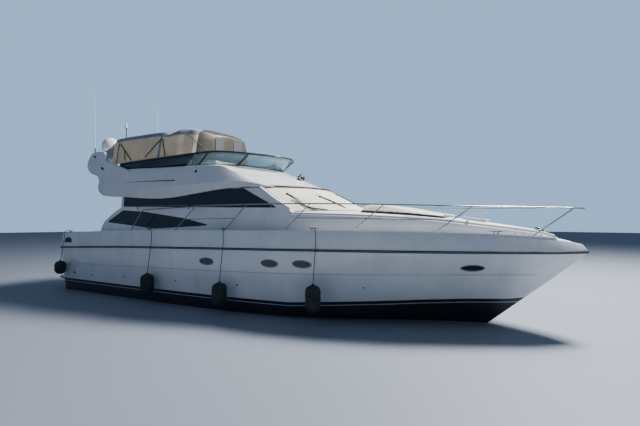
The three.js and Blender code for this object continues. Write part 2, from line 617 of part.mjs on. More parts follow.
function buildFlybridge() {
  const rings = FLY_X.map((x) => {
    const at = (column) => smooth(FLY_TABLE.x, FLY_TABLE[column], x);
    const half = FLY_COLUMNS.map(([y, z]) => [x, at(y), at(z)]);
    const mirrored = half.map(([px, y, z]) => [px, -y, z]).reverse();
    return [...half, [x, 0, at("centreZ")], ...mirrored];
  });
  const tub = flatPlate(mirrorOutline(TUB), FLY_DECK_Z, 4500);
  const underside = flatPlate(mirrorOutline(ROOF_EDGE), 2800, ROOF_Z);
  const { x0, x1, y0, y1 } = STAIR_WELL;
  const stairWell = block(x0, x1, y0, y1, 3000, 3600);
  addPiece("flybridge_moulding", loft(rings).subtract(tub).subtract(underside).subtract(stairWell), gelcoat);
}

// Flybridge windscreen: foot and head of the leaning glass, from the aft end of one side to the centre
const FLY_SCREEN = [
  // foot x, y, z, head x, y, z
  [-4960, -1800, 4020, -5000, -1805, 4215],
  [-4630, -1800, 4015, -4500, -1815, 4240],
  [-3900, -1790, 4005, -3750, -1830, 4254],
  [-2900, -1770, 3992, -2500, -1830, 4290],
  [-1700, -1620, 3982, -1200, -1680, 4343],
  [-1100, -1420, 3978, -680, -1440, 4332],
  [-640, -1100, 3985, -210, -1120, 4292],
  [-390, -800, 3958, -60, -900, 4284],
  [-240, -550, 3944, 120, -620, 4272],
  [-155, -290, 3932, 245, -340, 4262],
  [-120, 0, 3928, 285, 0, 4258],
];
const FLY_MULLIONS = [4, 6];
const FLY_SCREEN_STEPS = 36;
const GLASS_THICKNESS = 7.4;

function flyScreenRing() {
  const turned = FLY_SCREEN.slice(0, -1).reverse().map((row) => row.map((v, k) => (k % 3 === 1 ? -v : v)));
  return [...FLY_SCREEN, ...turned];
}

function flyScreenCurves(count) {
  const rows = flyScreenRing();
  const curve = (offset) => new THREE.CatmullRomCurve3(
    rows.map((row) => new THREE.Vector3(...row.slice(offset, offset + 3))));
  const feet = curve(0);
  const heads = curve(3);
  const list = [];
  for (let k = 0; k <= count; k += 1) {
    list.push([feet.getPoint(k / count), heads.getPoint(k / count)]);
  }
  return list;
}

// The glass as one sheet, or with its aft ends run on as the slot that it stands in.
function flyGlass(margin, thickness, overrun = 0) {
  const rings = flyScreenCurves(FLY_SCREEN_STEPS).map(([foot, head]) => {
    const rise = head.clone().sub(foot);
    const unit = rise.clone().normalize();
    const across = new THREE.Vector3(foot.x + 2500, foot.y, 0).normalize();
    const normal = across.addScaledVector(unit, -across.dot(unit)).normalize().multiplyScalar(thickness / 2);
    const low = foot.clone().addScaledVector(unit, margin);
    const high = head.clone().addScaledVector(unit, -margin);
    return [low.clone().sub(normal), low.clone().add(normal), high.clone().add(normal), high.clone().sub(normal)]
      .map((p) => p.toArray());
  });
  const past = (end, next) => end.map((corner, k) => {
    const from = new THREE.Vector3(...corner);
    return from.clone().sub(new THREE.Vector3(...next[k])).setLength(overrun).add(from).toArray();
  });
  if (overrun > 0) {
    rings.unshift(past(rings[0], rings[1]));
    rings.push(past(rings[rings.length - 1], rings[rings.length - 2]));
  }
  return loft(rings, [1, 2]);
}

function buildFlyScreen() {
  const rows = flyScreenRing();
  const rails = [0, 3].map((offset) => tube(rows.map((row) => row.slice(offset, offset + 3)), 20, FLY_SCREEN_STEPS, 6));
  const last = rows.length - 1;
  const posts = [0, ...FLY_MULLIONS, ...FLY_MULLIONS.map((k) => last - k), last]
    .map((k) => rod(rows[k].slice(0, 3), rows[k].slice(3, 6), 18, 6));
  const frame = join([...rails, ...posts]).subtract(flyGlass(8, GLASS_THICKNESS + 4 * GAP, 30));
  addPiece("flybridge_screen_frame", seatOn(frame, "flybridge_moulding"), blackFrame);
  addPiece("flybridge_screen_glass", flyGlass(8 + GAP, GLASS_THICKNESS), tintedGlass);
}

// Arch with its two fins, mast, dome, aerials and searchlight
const FIN = [[-4390, 3975], [-4640, 4060], [-5040, 4190], [-5575, 4350], [-5580, 4650], [-5850, 4690], [-6090, 4690],
  [-6310, 4650], [-6415, 4530], [-6560, 4335], [-6530, 4115], [-6345, 3970], [-5985, 3870], [-5900, 3750],
  [-5900, 3600], [-4390, 3600]];

const ARCH_TOP_Z = 4680;
const ARCH_FORE_X = -5850;
const MAST = { x: -6380, y: -620, z1: 5960 };

function buildArch() {
  const fins = SIDES.map(([, side]) => {
    const outer = side * 1990;
    const inner = side * 1850;
    return sidePlate(FIN, Math.min(outer, inner), Math.max(outer, inner));
  });
  const { x, y, z1 } = MAST;
  const beam = block(x - 60, ARCH_FORE_X, -1900, 1900, ARCH_TOP_Z - 100, ARCH_TOP_Z);
  const mast = rod([x, y, ARCH_TOP_Z - 50], [x, y, z1 - 40], 24, 8).add(rod([x, y, z1 - 110], [x, y, z1], 45, 12));
  const arch = seatOn(join([...fins, beam, mast]), "flybridge_moulding", ALL_ROUND);
  addPiece("radar_arch", arch, gelcoat);
}

const DOME = { x: -6240, y: -1330, radius: 285, z0: ARCH_TOP_Z + GAP, height: 610 };

function buildDome() {
  const { radius, height } = DOME;
  const profile = [[0, 0], [radius * 0.55, 0], [radius * 0.55, height * 0.24], [radius * 0.92, height * 0.34]];
  for (let k = 0; k <= 5; k += 1) {
    const angle = (k * Math.PI) / 10;
    profile.push([radius * Math.cos(angle), height * 0.56 + height * 0.44 * Math.sin(angle)]);
  }
  profile[profile.length - 1][0] = 0;
  const lathe = new THREE.LatheGeometry(profile.map(([r, h]) => new THREE.Vector2(r, h)), 20);
  addPiece("satellite_dome", toSolid(lathe.rotateX(Math.PI / 2).translate(DOME.x, DOME.y, DOME.z0)), gelcoat);
}

const AERIALS = [
  // name, x, y, foot z, head z, lean aft
  ["aerial_starboard", -6200, -1920, 4640, 6750, 60],
  ["aerial_port", -6250, 650, ARCH_TOP_Z - 20, 6980, 0],
];

function buildAerials() {
  for (const [name, x, y, z0, z1, lean] of AERIALS) {
    const whip = rod([x, y, z0], [x, y, z0 + 160], 22, 10).add(rod([x, y, z0 + 100], [x - lean, y, z1], 9, 8));
    addPiece(name, seatOn(whip, "radar_arch"), gelcoat);
  }
}

// Flybridge helm, wheel, seats and the stair up from the cockpit
const HELM = { x0: -2200, x1: -1500, y0: -1100, y1: 150 };
const WHEEL_STANDOFF = 70.5;
const FLY_WHEEL = { x: -2290, y: -480, z: 4010, radius: 190, tilt: 28 };

function steeringWheel(radius) {
  const rim = new THREE.TorusGeometry(radius, 15, 6, 24);
  let wheel = toSolid(rim);
  for (let k = 0; k < 3; k += 1) {
    const angle = Math.PI / 2 + (k * 2 * Math.PI) / 3;
    wheel = wheel.add(rod([0, 0, 0], [radius * Math.cos(angle), radius * Math.sin(angle), 0], 11, 6));
  }
  return wheel.add(rod([0, 0, -70], [0, 0, 22], 34, 12));
}

function addWheel(name, place) {
  const tilt = THREE.MathUtils.degToRad(place.tilt);
  const axis = new THREE.Vector3(-Math.cos(tilt), 0, Math.sin(tilt));
  const up = new THREE.Vector3(Math.sin(tilt), 0, Math.cos(tilt));
  const across = axis.clone().cross(up);
  const wheel = addPiece(name, steeringWheel(place.radius), blackFrame);
  wheel.setRotationFromMatrix(new THREE.Matrix4().makeBasis(up, across, axis));
  wheel.position.set(place.x, place.y, place.z);
}

// The sloping face of a console, square to the shaft of its wheel: x at a height z
function consoleFace(place) {
  const tilt = THREE.MathUtils.degToRad(place.tilt);
  const faceX = place.x + WHEEL_STANDOFF * Math.cos(tilt);
  const faceZ = place.z - WHEEL_STANDOFF * Math.sin(tilt);
  return (z) => faceX + (z - faceZ) * Math.tan(tilt);
}

function buildFlyFurniture() {
  const { x0, x1, y0, y1 } = HELM;
  const base = FLY_DECK_Z + GAP;
  const slope = consoleFace(FLY_WHEEL);
  const console = sidePlate([[x0 + 150, base], [x1, base], [x1, 4180], [x1 - 250, 4230], [slope(4160), 4160],
    [slope(3860), 3860], [x0 + 150, 3760]], y0, y1);
  addPiece("flybridge_console", console, gelcoat);
  addWheel("flybridge_wheel", FLY_WHEEL);
  const seat = join([block(-3350, -2950, -1000, 50, base, 3760), block(-3400, -2900, -1050, 100, 3755, 3880),
    block(-3450, -3330, -1050, 100, 3755, 4330)]);
  addPiece("helm_seat", seat, vinyl);
  const settee = join([block(-4600, -2300, 1000, 1560, base, 3800), block(-4600, -2300, 1430, 1560, 3790, 4130)]);
  addPiece("flybridge_settee", settee, vinyl);
}

function buildFlyStair() {
  const { y0, y1 } = STAIR_WELL;
  const low = [-6050, SOLE_Z + GAP];
  const high = [-4900, FLY_DECK_Z - 20];
  const stringer = (y) => sidePlate([[low[0] - 90, low[1]], [low[0] + 90, low[1]], [high[0] + 90, high[1]],
    [high[0] - 90, high[1]]], y, y + 40);
  const parts = [stringer(y0 + 60), stringer(y1 - 100)];
  const count = 8;
  for (let k = 1; k <= count; k += 1) {
    const x = low[0] + ((high[0] - low[0]) * k) / (count + 1);
    const z = low[1] + ((high[1] - low[1]) * k) / (count + 1);
    parts.push(block(x - 120, x + 120, y0 + 80, y1 - 80, z - 20, z + 15));
  }
  addPiece("flybridge_stair", join(parts), steel);
}

// Canopy over the helm on its tube frame: half width, hem and rise of the roof at places along its length
const CANOPY = {
  x: [-5480, -5000, -4200, -3300, -3000, -2700, -2500, -2290, -2120, -1980],
  halfWidth: [1800, 1800, 1800, 1775, 1720, 1590, 1440, 1340, 1140, 800],
  rise: [-20, 5, 5, 0, -60, 40, 55, 20, -60, -140],
  hemZ: [4215, 4248, 4285, 4315, 4330, 4345, 4350, 4355, 4360, 4360],
};
const CANVAS = 14;
const ROOF_CROWN = { z: 5255, drop: 65, at: 1520 };

function canopySection(x, halfWidth, rise, hem, inset) {
  const roof = (y) => ROOF_CROWN.z + rise - inset - ROOF_CROWN.drop * (y / ROOF_CROWN.at) ** 2;
  const edge = halfWidth - 280;
  const points = [[halfWidth, hem], [halfWidth - 100, 4850], [halfWidth - 180, roof(edge) - 115],
    [edge, roof(edge) - 35], [edge * 0.6, roof(edge * 0.6)], [0, roof(0)]];
  const half = points.map(([y, z]) => [x, Math.max(y - inset, 0), z]);
  const mirrored = half.slice(0, -1).map(([px, y, z]) => [px, -y, z]).reverse();
  return [...half, ...mirrored];
}

function buildCanopy() {
  const { x, halfWidth, rise, hemZ } = CANOPY;
  const last = x.length - 1;
  const shell = (inset, stretch, drop) => loft(x.map((place, k) => {
    const shift = (k === last ? -inset : 0) - (k === 0 ? stretch : 0);
    return canopySection(place + shift, halfWidth[k], rise[k], hemZ[k] - drop, inset);
  }));
  addPiece("canopy", shell(0, 0, 0).subtract(shell(CANVAS, 100, 60)), canopyCanvas);
}

// Each hoop follows the canvas at one of its sections, and its legs lean to their feet on the coaming.
const HOOPS = [[0, -5420], [3, -3950], [6, -3050]];

function buildCanopyFrame() {
  const radius = 14;
  const footY = 1722;
  const footZ = 3990;
  const hoops = HOOPS.map(([section, footX]) => {
    const { x, halfWidth, rise, hemZ } = CANOPY;
    const place = x[section] + (section === 0 ? radius * 4 : 0);
    const [, ...top] = canopySection(place, halfWidth[section], rise[section], hemZ[section], CANVAS + radius);
    const points = [[footX, footY, footZ], ...top.slice(0, -1), [footX, -footY, footZ]];
    return join(points.slice(1).map((point, k) => rod(points[k], point, radius, 8)));
  });
  const parts = SIDES.flatMap(([, side]) => [
    rod([-5400, side * 1655, 4900], [-4300, side * footY, footZ + 30], 11, 6),
    rod([-5420, side * footY, footZ + 30], [-3050, side * footY, footZ + 30], 11, 6),
  ]);
  const frame = seatOn(join([...hoops, ...parts]), "canopy", [[0, 0, -GAP]]);
  addPiece("canopy_frame", seatOn(frame, "flybridge_moulding"), steel);
}

// Cockpit bench and saloon furniture
const LOWER_WHEEL = { x: 905, y: -900, z: 2390, radius: 190, tilt: 30 };

function buildInterior() {
  const base = SOLE_Z + GAP;
  const bench = join([block(WELL_AFT_X + 20, -6450, -1780, 700, base, 1520),
    block(WELL_AFT_X + 20, -6430, -1780, 700, 1515, 1620), block(WELL_AFT_X + 20, -6920, -1780, 700, 1515, 1950)]);
  addPiece("cockpit_bench", bench, vinyl);
  const floor = SOLE_Z + 20 + GAP;
  const settee = join([block(-4200, -1200, 1050, 1780, floor, 1600), block(-4200, -1200, 1560, 1780, 1590, 2080)]);
  addPiece("saloon_settee", settee, vinyl);
  const galley = block(-3600, -700, -1780, -1150, floor, 2060);
  addPiece("saloon_cabinet", galley, woodVeneer);
  const slope = consoleFace(LOWER_WHEEL);
  addPiece("lower_helm", sidePlate([[800, floor], [1560, floor], [1560, 2540], [slope(2540), 2540],
    [slope(2200), 2200], [800, 2150]], -1500, -300), woodVeneer);
  addWheel("lower_wheel", LOWER_WHEEL);
}

// Deck-edge strip with its cleats, the steel rails, windlass and searchlight
const CLEAT_X = [-7150, -3000, -90, 2550, 6320];
const CLEAT = { length: 280, height: 80, radius: 14, foot: 40 };
const cleatPlace = (x) => [deckHalfWidth(x) - 22, builtDeckZ(x) + CLEAT.height];

function buildToeRails() {
  for (const [name, side] of SIDES) {
    const stations = HULL_STATIONS.slice(0, 19);
    const rings = stations.map((station) => {
      const [x, y, z] = hullPoint("deckEdge", station);
      const place = (inboard, height) => [x, side * (y - inboard), z + height];
      return [place(5, GAP), place(5, 34), place(35, 34), place(45, GAP)];
    });
    let strip = loft(rings);
    for (const x of CLEAT_X) {
      const [outboard, z] = cleatPlace(x);
      const y = side * outboard;
      const { length, radius, foot } = CLEAT;
      const bar = rod([x - length / 2, y, z], [x + length / 2, y, z], radius, 6);
      const feet = [-foot, foot].map((shift) => block(x + shift - 15, x + shift + 15, y - 11, y + 11, z - 60, z - 8));
      strip = strip.add(join([bar, ...feet]));
    }
    addPiece(`toe_rail_${name}`, strip, steel);
  }
}

const RAIL = {
  feetX: [-3950, -2000, -150, 1700, 3430, 5130, 6950],
  headX: [-3310, -1160, 640, 2450, 4140, 5880, 7740],
  lastHalfWidth: 270,
  radius: 16,
  topX: [-3450, -1400, 450, 2290, 4140, 5900, 7500, 7850],
  topZ: [2700, 2760, 2790, 2785, 2740, 2690, 2660, 2640],
  midSpans: [1, 3, 4],
};

const railTopZ = (x) => smooth(RAIL.topX, RAIL.topZ, x);

const railY = (x) => (x < 7560 ? deckHalfWidth(x) - 60 : RAIL.lastHalfWidth);

function buildBowRail() {
  const run = [];
  for (const x of [-3450, -2400, -1400, -400, 450, 1400, 2290, 3200, 4140, 5000, 5900, 6600, 7150]) {
    run.push([x, railY(x), railTopZ(x)]);
  }
  run.push([7500, 350, 2660], [7740, RAIL.lastHalfWidth, railTopZ(7740)]);
  const turned = run.map(([x, y, z]) => [x, -y, z]).reverse();
  const top = tube([...run, [7890, 150, 2642], [7930, 0, 2640], [7890, -150, 2642], ...turned], RAIL.radius, 120, 6);
  const parts = [top];
  for (const [, side] of SIDES) {
    const foot = (k, lift) => {
      const x = RAIL.feetX[k];
      return [x, side * (deckHalfWidth(x) - 85), builtDeckZ(x) + lift];
    };
    const head = (k) => [RAIL.headX[k], side * railY(RAIL.headX[k]), railTopZ(RAIL.headX[k])];
    const middle = (k) => foot(k, 12).map((value, axis) => (value + head(k)[axis]) / 2);
    for (let k = 0; k < RAIL.feetX.length; k += 1) {
      parts.push(rod(foot(k, -5), head(k), 13, 6));
      parts.push(rod(foot(k, -5), foot(k, 14), 34, 6));
    }
    for (const k of RAIL.midSpans) parts.push(rod(middle(k), middle(k + 1), 10, 6));
  }
  addPiece("bow_rail", seatOn(join(parts), "hull"), steel);
}

function buildDeckGear() {
  const x = 7060;
  const base = trunkTopZ(x, 0);
  const windlass = join([block(x - 160, x + 130, -90, 90, base - 60, base + 40),
    rod([x, -120, base + 110], [x, 120, base + 110], 70, 14),
    block(x - 60, x + 60, -80, 80, base + 30, base + 110)]);
  addPiece("windlass", seatOn(windlass, "trunk_cabin"), steel);
  const lampX = 820;
  const lampZ = 3535;
  const lamp = join([rod([lampX, 0, lampZ - 60], [lampX, 0, lampZ + 50], 40, 12),
    rod([lampX - 90, 0, lampZ + 110], [lampX + 90, 0, lampZ + 110], 75, 16)]);
  addPiece("searchlight", seatOn(lamp, "flybridge_moulding"), steel);
}

// Fenders, each hung on its line from a cleat
const FENDERS = [
  // name, x, bottom z, height, radius, cleat x
  ["fender_quarter", -7300, 570, 450, 180, -7150],
  ["fender_aft", -2720, 300, 580, 190, -3000],
  ["fender_middle", 20, 250, 580, 190, -90],
  ["fender_forward", 2690, 330, 620, 175, 2550],
];

const FENDER_LINE = 9;
const FENDER_BEND_Z = 1825;

function buildFenders() {
  for (const [name, x, z0, height, radius, cleatX] of FENDERS) {
    const widest = hullPoint("railHigh", (x - TRANSOM_X) / (HULL_LINES.railHigh.stem - TRANSOM_X))[1];
    const y = -(widest + radius + 4);
    const profile = [[0, 0], [radius * 0.5, 15], [radius * 0.85, 70], [radius, 150], [radius, height - 130],
      [radius * 0.8, height - 50], [radius * 0.4, height - 8], [0, height]];
    const body = new THREE.LatheGeometry(profile.map(([r, h]) => new THREE.Vector2(r, h)), 16);
    const solid = toSolid(body.rotateX(Math.PI / 2).translate(x, y, z0));
    const lineY = -(widest + 60);
    const [cleatY, cleatZ] = cleatPlace(cleatX);
    const overZ = cleatZ + CLEAT.radius + FENDER_LINE - 1;
    const route = [[x, y, z0 + height - 30], [x, lineY, FENDER_BEND_Z], [x, lineY, overZ],
      [cleatX, -cleatY, overZ], [cleatX, 40 - cleatY, overZ]];
    const line = join(route.slice(1).map((point, k) => rod(route[k], point, FENDER_LINE, 6)));
    addPiece(name, seatOn(solid.add(line), "toe_rail_starboard"), darkRubber);
  }
}

buildHull();
buildRubRail();
buildSternPlatform();
buildTransomDoor();
buildSoles();
buildMachinery();
buildTrunk();
buildSunpad();
buildSaloonSides();
buildAftBulkhead();
buildFlybridge();
buildWindscreen();
buildFlyScreen();
buildArch();
buildDome();
buildAerials();
buildFlyFurniture();
buildFlyStair();
buildCanopy();
buildCanopyFrame();
buildInterior();
buildToeRails();
buildBowRail();
buildDeckGear();
buildFenders();

export default yacht;
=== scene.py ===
# Motor yacht with a flybridge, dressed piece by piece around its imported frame.
# Metres. +X runs to the bow, +Y to port and +Z up; the floor stands at the waterline.
import math

import bpy
from mathutils import Matrix, Vector


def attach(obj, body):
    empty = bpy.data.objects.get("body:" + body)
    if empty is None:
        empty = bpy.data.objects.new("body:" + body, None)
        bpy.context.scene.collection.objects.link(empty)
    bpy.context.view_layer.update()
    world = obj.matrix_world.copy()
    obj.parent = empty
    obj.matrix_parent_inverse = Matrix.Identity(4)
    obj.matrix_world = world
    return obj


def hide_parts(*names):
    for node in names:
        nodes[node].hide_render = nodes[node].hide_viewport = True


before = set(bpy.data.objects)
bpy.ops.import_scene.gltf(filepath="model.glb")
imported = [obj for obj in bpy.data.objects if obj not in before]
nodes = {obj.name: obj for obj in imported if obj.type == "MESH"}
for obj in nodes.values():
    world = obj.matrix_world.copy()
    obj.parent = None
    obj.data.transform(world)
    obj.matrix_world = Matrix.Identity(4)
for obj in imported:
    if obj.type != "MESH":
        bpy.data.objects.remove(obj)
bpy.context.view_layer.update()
bpy.ops.object.select_all(action="DESELECT")

# Camera
# It stands off the starboard bow, a little above head height over the water, and looks 30 degrees aft of
# square on. The lens gives the wide view of a hand-held camera.
CAMERA_PLACE = (7.605, -10.610, 2.4)
CAMERA_TILT = math.radians(90.94)
CAMERA_TURN = math.radians(30.0)
LENS_MM = 24.02
bpy.ops.object.camera_add(location=CAMERA_PLACE, rotation=(CAMERA_TILT, 0.0, CAMERA_TURN))
camera = bpy.context.object
camera.name = "camera"
camera.data.lens = LENS_MM
camera.data.sensor_width = 36.0
camera.data.clip_end = 400.0
bpy.context.scene.camera = camera

# Studio
# A plain grey floor lies at the waterline under a soft blue sky. A broad key light stands high over the
# far side and a weak fill on the near side.
FLOOR_RADIUS = 90.0
bpy.ops.mesh.primitive_circle_add(vertices=64, radius=FLOOR_RADIUS, fill_type="NGON", location=(0, 0, 0))
floor = bpy.context.object
floor.name = "studio_floor"
floor_finish = bpy.data.materials.new("studio_floor_paint")
floor_finish.use_nodes = True
floor_shader = floor_finish.node_tree.nodes["Principled BSDF"]
floor_shader.inputs["Base Color"].default_value = (0.25, 0.28, 0.33, 1.0)
floor_shader.inputs["Roughness"].default_value = 0.6
floor.data.materials.append(floor_finish)

world = bpy.data.worlds.new("studio_sky")
world.use_nodes = True
world.node_tree.nodes["Background"].inputs["Color"].default_value = (0.44, 0.64, 1.0, 1.0)
world.node_tree.nodes["Background"].inputs["Strength"].default_value = 0.25
backdrop = world.node_tree.nodes.new("ShaderNodeBackground")
backdrop.inputs["Color"].default_value = (0.40, 0.63, 0.96, 1.0)
backdrop.inputs["Strength"].default_value = 0.95
seen = world.node_tree.nodes.new("ShaderNodeLightPath")
either = world.node_tree.nodes.new("ShaderNodeMixShader")
for output, socket in (
    (seen.outputs["Is Camera Ray"], either.inputs[0]),
    (world.node_tree.nodes["Background"].outputs[0], either.inputs[1]),
    (backdrop.outputs[0], either.inputs[2]),
    (either.outputs[0], world.node_tree.nodes["World Output"].inputs["Surface"]),
):
    world.node_tree.links.new(output, socket)
bpy.context.scene.world = world

for name, place, target, size, power in (
    ("key_light", (9.5, 11.0, 21.0), (1.0, 0.0, 2.0), 6.0, 18500.0),
    ("fill_light", (2.0, -22.0, 9.0), (0.0, 0.0, 2.0), 12.0, 110.0),
):
    bpy.ops.object.light_add(type="AREA", location=place)
    lamp = bpy.context.object
    lamp.name = name
    lamp.data.size = size
    lamp.data.energy = power
    lamp.rotation_euler = (Vector(target) - Vector(place)).to_track_quat("-Z", "Y").to_euler()

# Hull
# A fibreglass shell with a fine entry, a knuckle above the chine and a rolled deck edge. It is shaped from
# its lines, mirrored and closed at the transom, and the cockpit, engine room and passage are cut from it.
TRANSOM_X = -7.6
STATION = [0, 0.2, 0.4, 0.55, 0.68, 0.78, 0.86, 0.92, 0.97, 1]
HULL_LINES = {
    # line: stem x, half breadth y at the stations, height z at the stations
    "keel": (6.0, [0] * 10, [-0.6, -0.74, -0.82, -0.84, -0.8, -0.7, -0.55, -0.38, -0.16, 0]),
    "chine": (6.79, [2.05, 2.1, 2.1, 2.02, 1.78, 1.36, 0.88, 0.52, 0.2, 0],
              [-0.15, -0.12, -0.05, 0.03, 0.14, 0.28, 0.42, 0.54, 0.63, 0.67]),
    "knuckle": (7.43, [2.2, 2.27, 2.3, 2.27, 2.1, 1.7, 1.18, 0.74, 0.32, 0],
                [0.92, 0.99, 1.05, 1.1, 1.15, 1.19, 1.21, 1.22, 1.22, 1.21]),
    "rail_low": (7.96, [2.24, 2.32, 2.35, 2.33, 2.2, 1.86, 1.38, 0.92, 0.46, 0],
                 [1.425, 1.535, 1.605, 1.645, 1.675, 1.685, 1.685, 1.685, 1.685, 1.685]),
    "rail_high": (7.995, [2.24, 2.32, 2.35, 2.33, 2.2, 1.86, 1.38, 0.92, 0.46, 0],
                  [1.495, 1.605, 1.675, 1.715, 1.745, 1.755, 1.755, 1.755, 1.755, 1.755]),
    "deck_edge": (7.9, [2.19, 2.27, 2.3, 2.28, 2.14, 1.79, 1.3, 0.84, 0.4, 0],
                  [1.93, 2.04, 2.09, 2.11, 2.13, 2.12, 2.095, 2.055, 1.985, 1.88]),
}
# Each column of the half section lies between two lines, by the share given.
HULL_COLUMNS = (
    [("deck_edge", "deck_edge", 0.0), ("deck_edge", "rail_high", 0.5), ("rail_high", "rail_low", 0.0)]
    + [("rail_low", "knuckle", k / 5) for k in range(5)]
    + [("knuckle", "chine", k / 6) for k in range(6)]
    + [("chine", "keel", k / 6) for k in range(7)]
)
WELL = ((-7.05, -1.84, 1.05), (1.6, 1.84, 3.0))
ENGINE_ROOM = ((-6.3, -1.5, -0.15), (-1.9, 1.5, 2.0))
PASSAGE = ((-7.7, 0.86, 1.15), (-7.0, 1.46, 3.0))
PASSAGE_STEP = ((-7.7, 0.86, 0.8), (-7.33, 1.46, 3.0))


def smooth(knots, values, at):
    """The smooth curve through values at rising knots."""
    i = 0
    while i < len(knots) - 2 and at > knots[i + 1]:
        i += 1

    def slope(k):
        before, after = max(k - 1, 0), min(k + 1, len(knots) - 1)
        return (values[after] - values[before]) / (knots[after] - knots[before])

    span = knots[i + 1] - knots[i]
    t = min(max((at - knots[i]) / span, 0.0), 1.0)
    return (
        (2 * t**3 - 3 * t**2 + 1) * values[i]
        + (t**3 - 2 * t**2 + t) * span * slope(i)
        + (3 * t**2 - 2 * t**3) * values[i + 1]
        + (t**3 - t**2) * span * slope(i + 1)
    )


def hull_point(line, station):
    """The point of a line's port half at a station, from 0 at the transom to 1 at the stem."""
    stem, widths, heights = HULL_LINES[line]
    x = TRANSOM_X + station * (stem - TRANSOM_X)
    return Vector((x, smooth(STATION, widths, station), smooth(STATION, heights, station)))


def hull_at(line, x):
    """The point of a line's port half at a place along the boat."""
    return hull_point(line, (x - TRANSOM_X) / (HULL_LINES[line][0] - TRANSOM_X))


def deck_edge_at(x):
    return hull_at("deck_edge", x)


def grid_skin(name, rows, columns, place):
    """A grid whose point in row i and column j is moved to place(i, j)."""
    bpy.ops.mesh.primitive_grid_add(x_subdivisions=rows - 1, y_subdivisions=columns - 1, size=1)
    skin = bpy.context.object
    skin.name = name
    for vertex in skin.data.vertices:
        i = round((vertex.co.x + 0.5) * (rows - 1))
        j = round((vertex.co.y + 0.5) * (columns - 1))
        vertex.co = place(i, j)
    return skin


def merge_doubles(distance, close=None):
    """Merges the active mesh's doubles, closes it by the given step and turns its faces outwards."""
    bpy.ops.object.mode_set(mode="EDIT")
    bpy.ops.mesh.select_all(action="SELECT")
    bpy.ops.mesh.remove_doubles(threshold=distance)
    if close:
        close()
    bpy.ops.mesh.select_all(action="SELECT")
    bpy.ops.mesh.normals_make_consistent(inside=False)
    bpy.ops.object.mode_set(mode="OBJECT")


def fill_transom():
    bpy.ops.mesh.select_all(action="DESELECT")
    bpy.ops.mesh.select_mode(type="EDGE")
    bpy.ops.mesh.select_non_manifold(extend=False)
    bpy.ops.mesh.edge_face_add()


def finish_with(piece, kind, **settings):
    """Adds a modifier and applies it."""
    modifier = piece.modifiers.new(kind.lower(), kind)
    for key, value in settings.items():
        setattr(modifier, key, value)
    bpy.context.view_layer.objects.active = piece
    bpy.ops.object.modifier_apply(modifier=modifier.name)


def bevelled(piece, width, segments, degrees=30):
    """Rounds the edges that turn by more than the given degrees."""
    finish_with(piece, "BEVEL", width=width, segments=segments, limit_method="ANGLE",
                angle_limit=math.radians(degrees))


def select_only(*pieces):
    """Selects these pieces alone and makes the first one active."""
    bpy.ops.object.select_all(action="DESELECT")
    for piece in pieces:
        piece.select_set(True)
    bpy.context.view_layer.objects.active = pieces[0]


def box_primitive(low, high):
    """A plain block between two corners."""
    middle = [(a + b) / 2 for a, b in zip(low, high)]
    bpy.ops.mesh.primitive_cube_add(size=1, location=middle)
    box = bpy.context.object
    box.scale = [b - a for a, b in zip(low, high)]
    bpy.ops.object.transform_apply(location=True, rotation=True, scale=True)
    return box


def cut_away(piece, cutter):
    """Cuts one mesh out of another and removes the cutter."""
    finish_with(piece, "BOOLEAN", operation="DIFFERENCE", solver="EXACT", object=cutter)
    bpy.data.objects.remove(cutter)
    select_only(piece)


HULL_ROWS = 96


def hull_place(i, j):
    """The hull's skin: rows close up towards the stem, and column 0 is the deck's centreline."""
    share = i / (HULL_ROWS - 1)
    station = 1 - (1 - share) ** 1.35
    if j == 0:
        edge = hull_point("deck_edge", station)
        return Vector((edge.x, 0.0, edge.z))
    upper, lower, t = HULL_COLUMNS[j - 1]
    return hull_point(upper, station).lerp(hull_point(lower, station), t)


hull = grid_skin("hull_shell", HULL_ROWS, len(HULL_COLUMNS) + 1, hull_place)
finish_with(hull, "MIRROR", use_axis=(False, True, False), use_clip=True, merge_threshold=0.0005)
merge_doubles(0.0005, fill_transom)
bevelled(hull, 0.022, 3, 38)
for low, high in (WELL, ENGINE_ROOM, PASSAGE, PASSAGE_STEP):
    cut_away(hull, box_primitive(low, high))
bpy.ops.object.shade_smooth_by_angle(angle=math.radians(24))


def node_group(name, inputs, outputs):
    """A shader node group with named number sockets, plus its input and output nodes."""
    group = bpy.data.node_groups.new(name, "ShaderNodeTree")
    for socket, value in inputs:
        made = group.interface.new_socket(socket, in_out="INPUT", socket_type="NodeSocketFloat")
        made.default_value = value
    for socket in outputs:
        group.interface.new_socket(socket, in_out="OUTPUT", socket_type="NodeSocketFloat")
    return group, group.nodes.new("NodeGroupInput"), group.nodes.new("NodeGroupOutput")


def build_weathering():
    """Soft mottling, fine grain and streaks that run down, from the piece's own coordinates."""
    group, given, made = node_group(
        "weathering", [("Mottle Scale", 1.4), ("Grain Scale", 220.0), ("Streak Scale", 5.0)],
        ["Mottle", "Grain", "Streak"])
    place = group.nodes.new("ShaderNodeTexCoord")
    for output, stretch, detail in (
        ("Mottle", (1.0, 1.0, 1.0), 5.0), ("Grain", (1.0, 1.0, 1.0), 2.0), ("Streak", (1.0, 1.0, 0.08), 4.0),
    ):
        mapping = group.nodes.new("ShaderNodeMapping")
        mapping.inputs["Scale"].default_value = stretch
        noise = group.nodes.new("ShaderNodeTexNoise")
        noise.inputs["Detail"].default_value = detail
        group.links.new(place.outputs["Object"], mapping.inputs["Vector"])
        group.links.new(mapping.outputs["Vector"], noise.inputs["Vector"])
        group.links.new(given.outputs[output + " Scale"], noise.inputs["Scale"])
        group.links.new(noise.outputs["Fac"], made.inputs[output])
    return group


WEATHERING = build_weathering()


def add(material, kind, **values):
    """A node of the material, with its named inputs set."""
    node = material.node_tree.nodes.new(kind)
    for key, value in values.items():
        node.inputs[key.replace("_", " ")].default_value = value
    return node


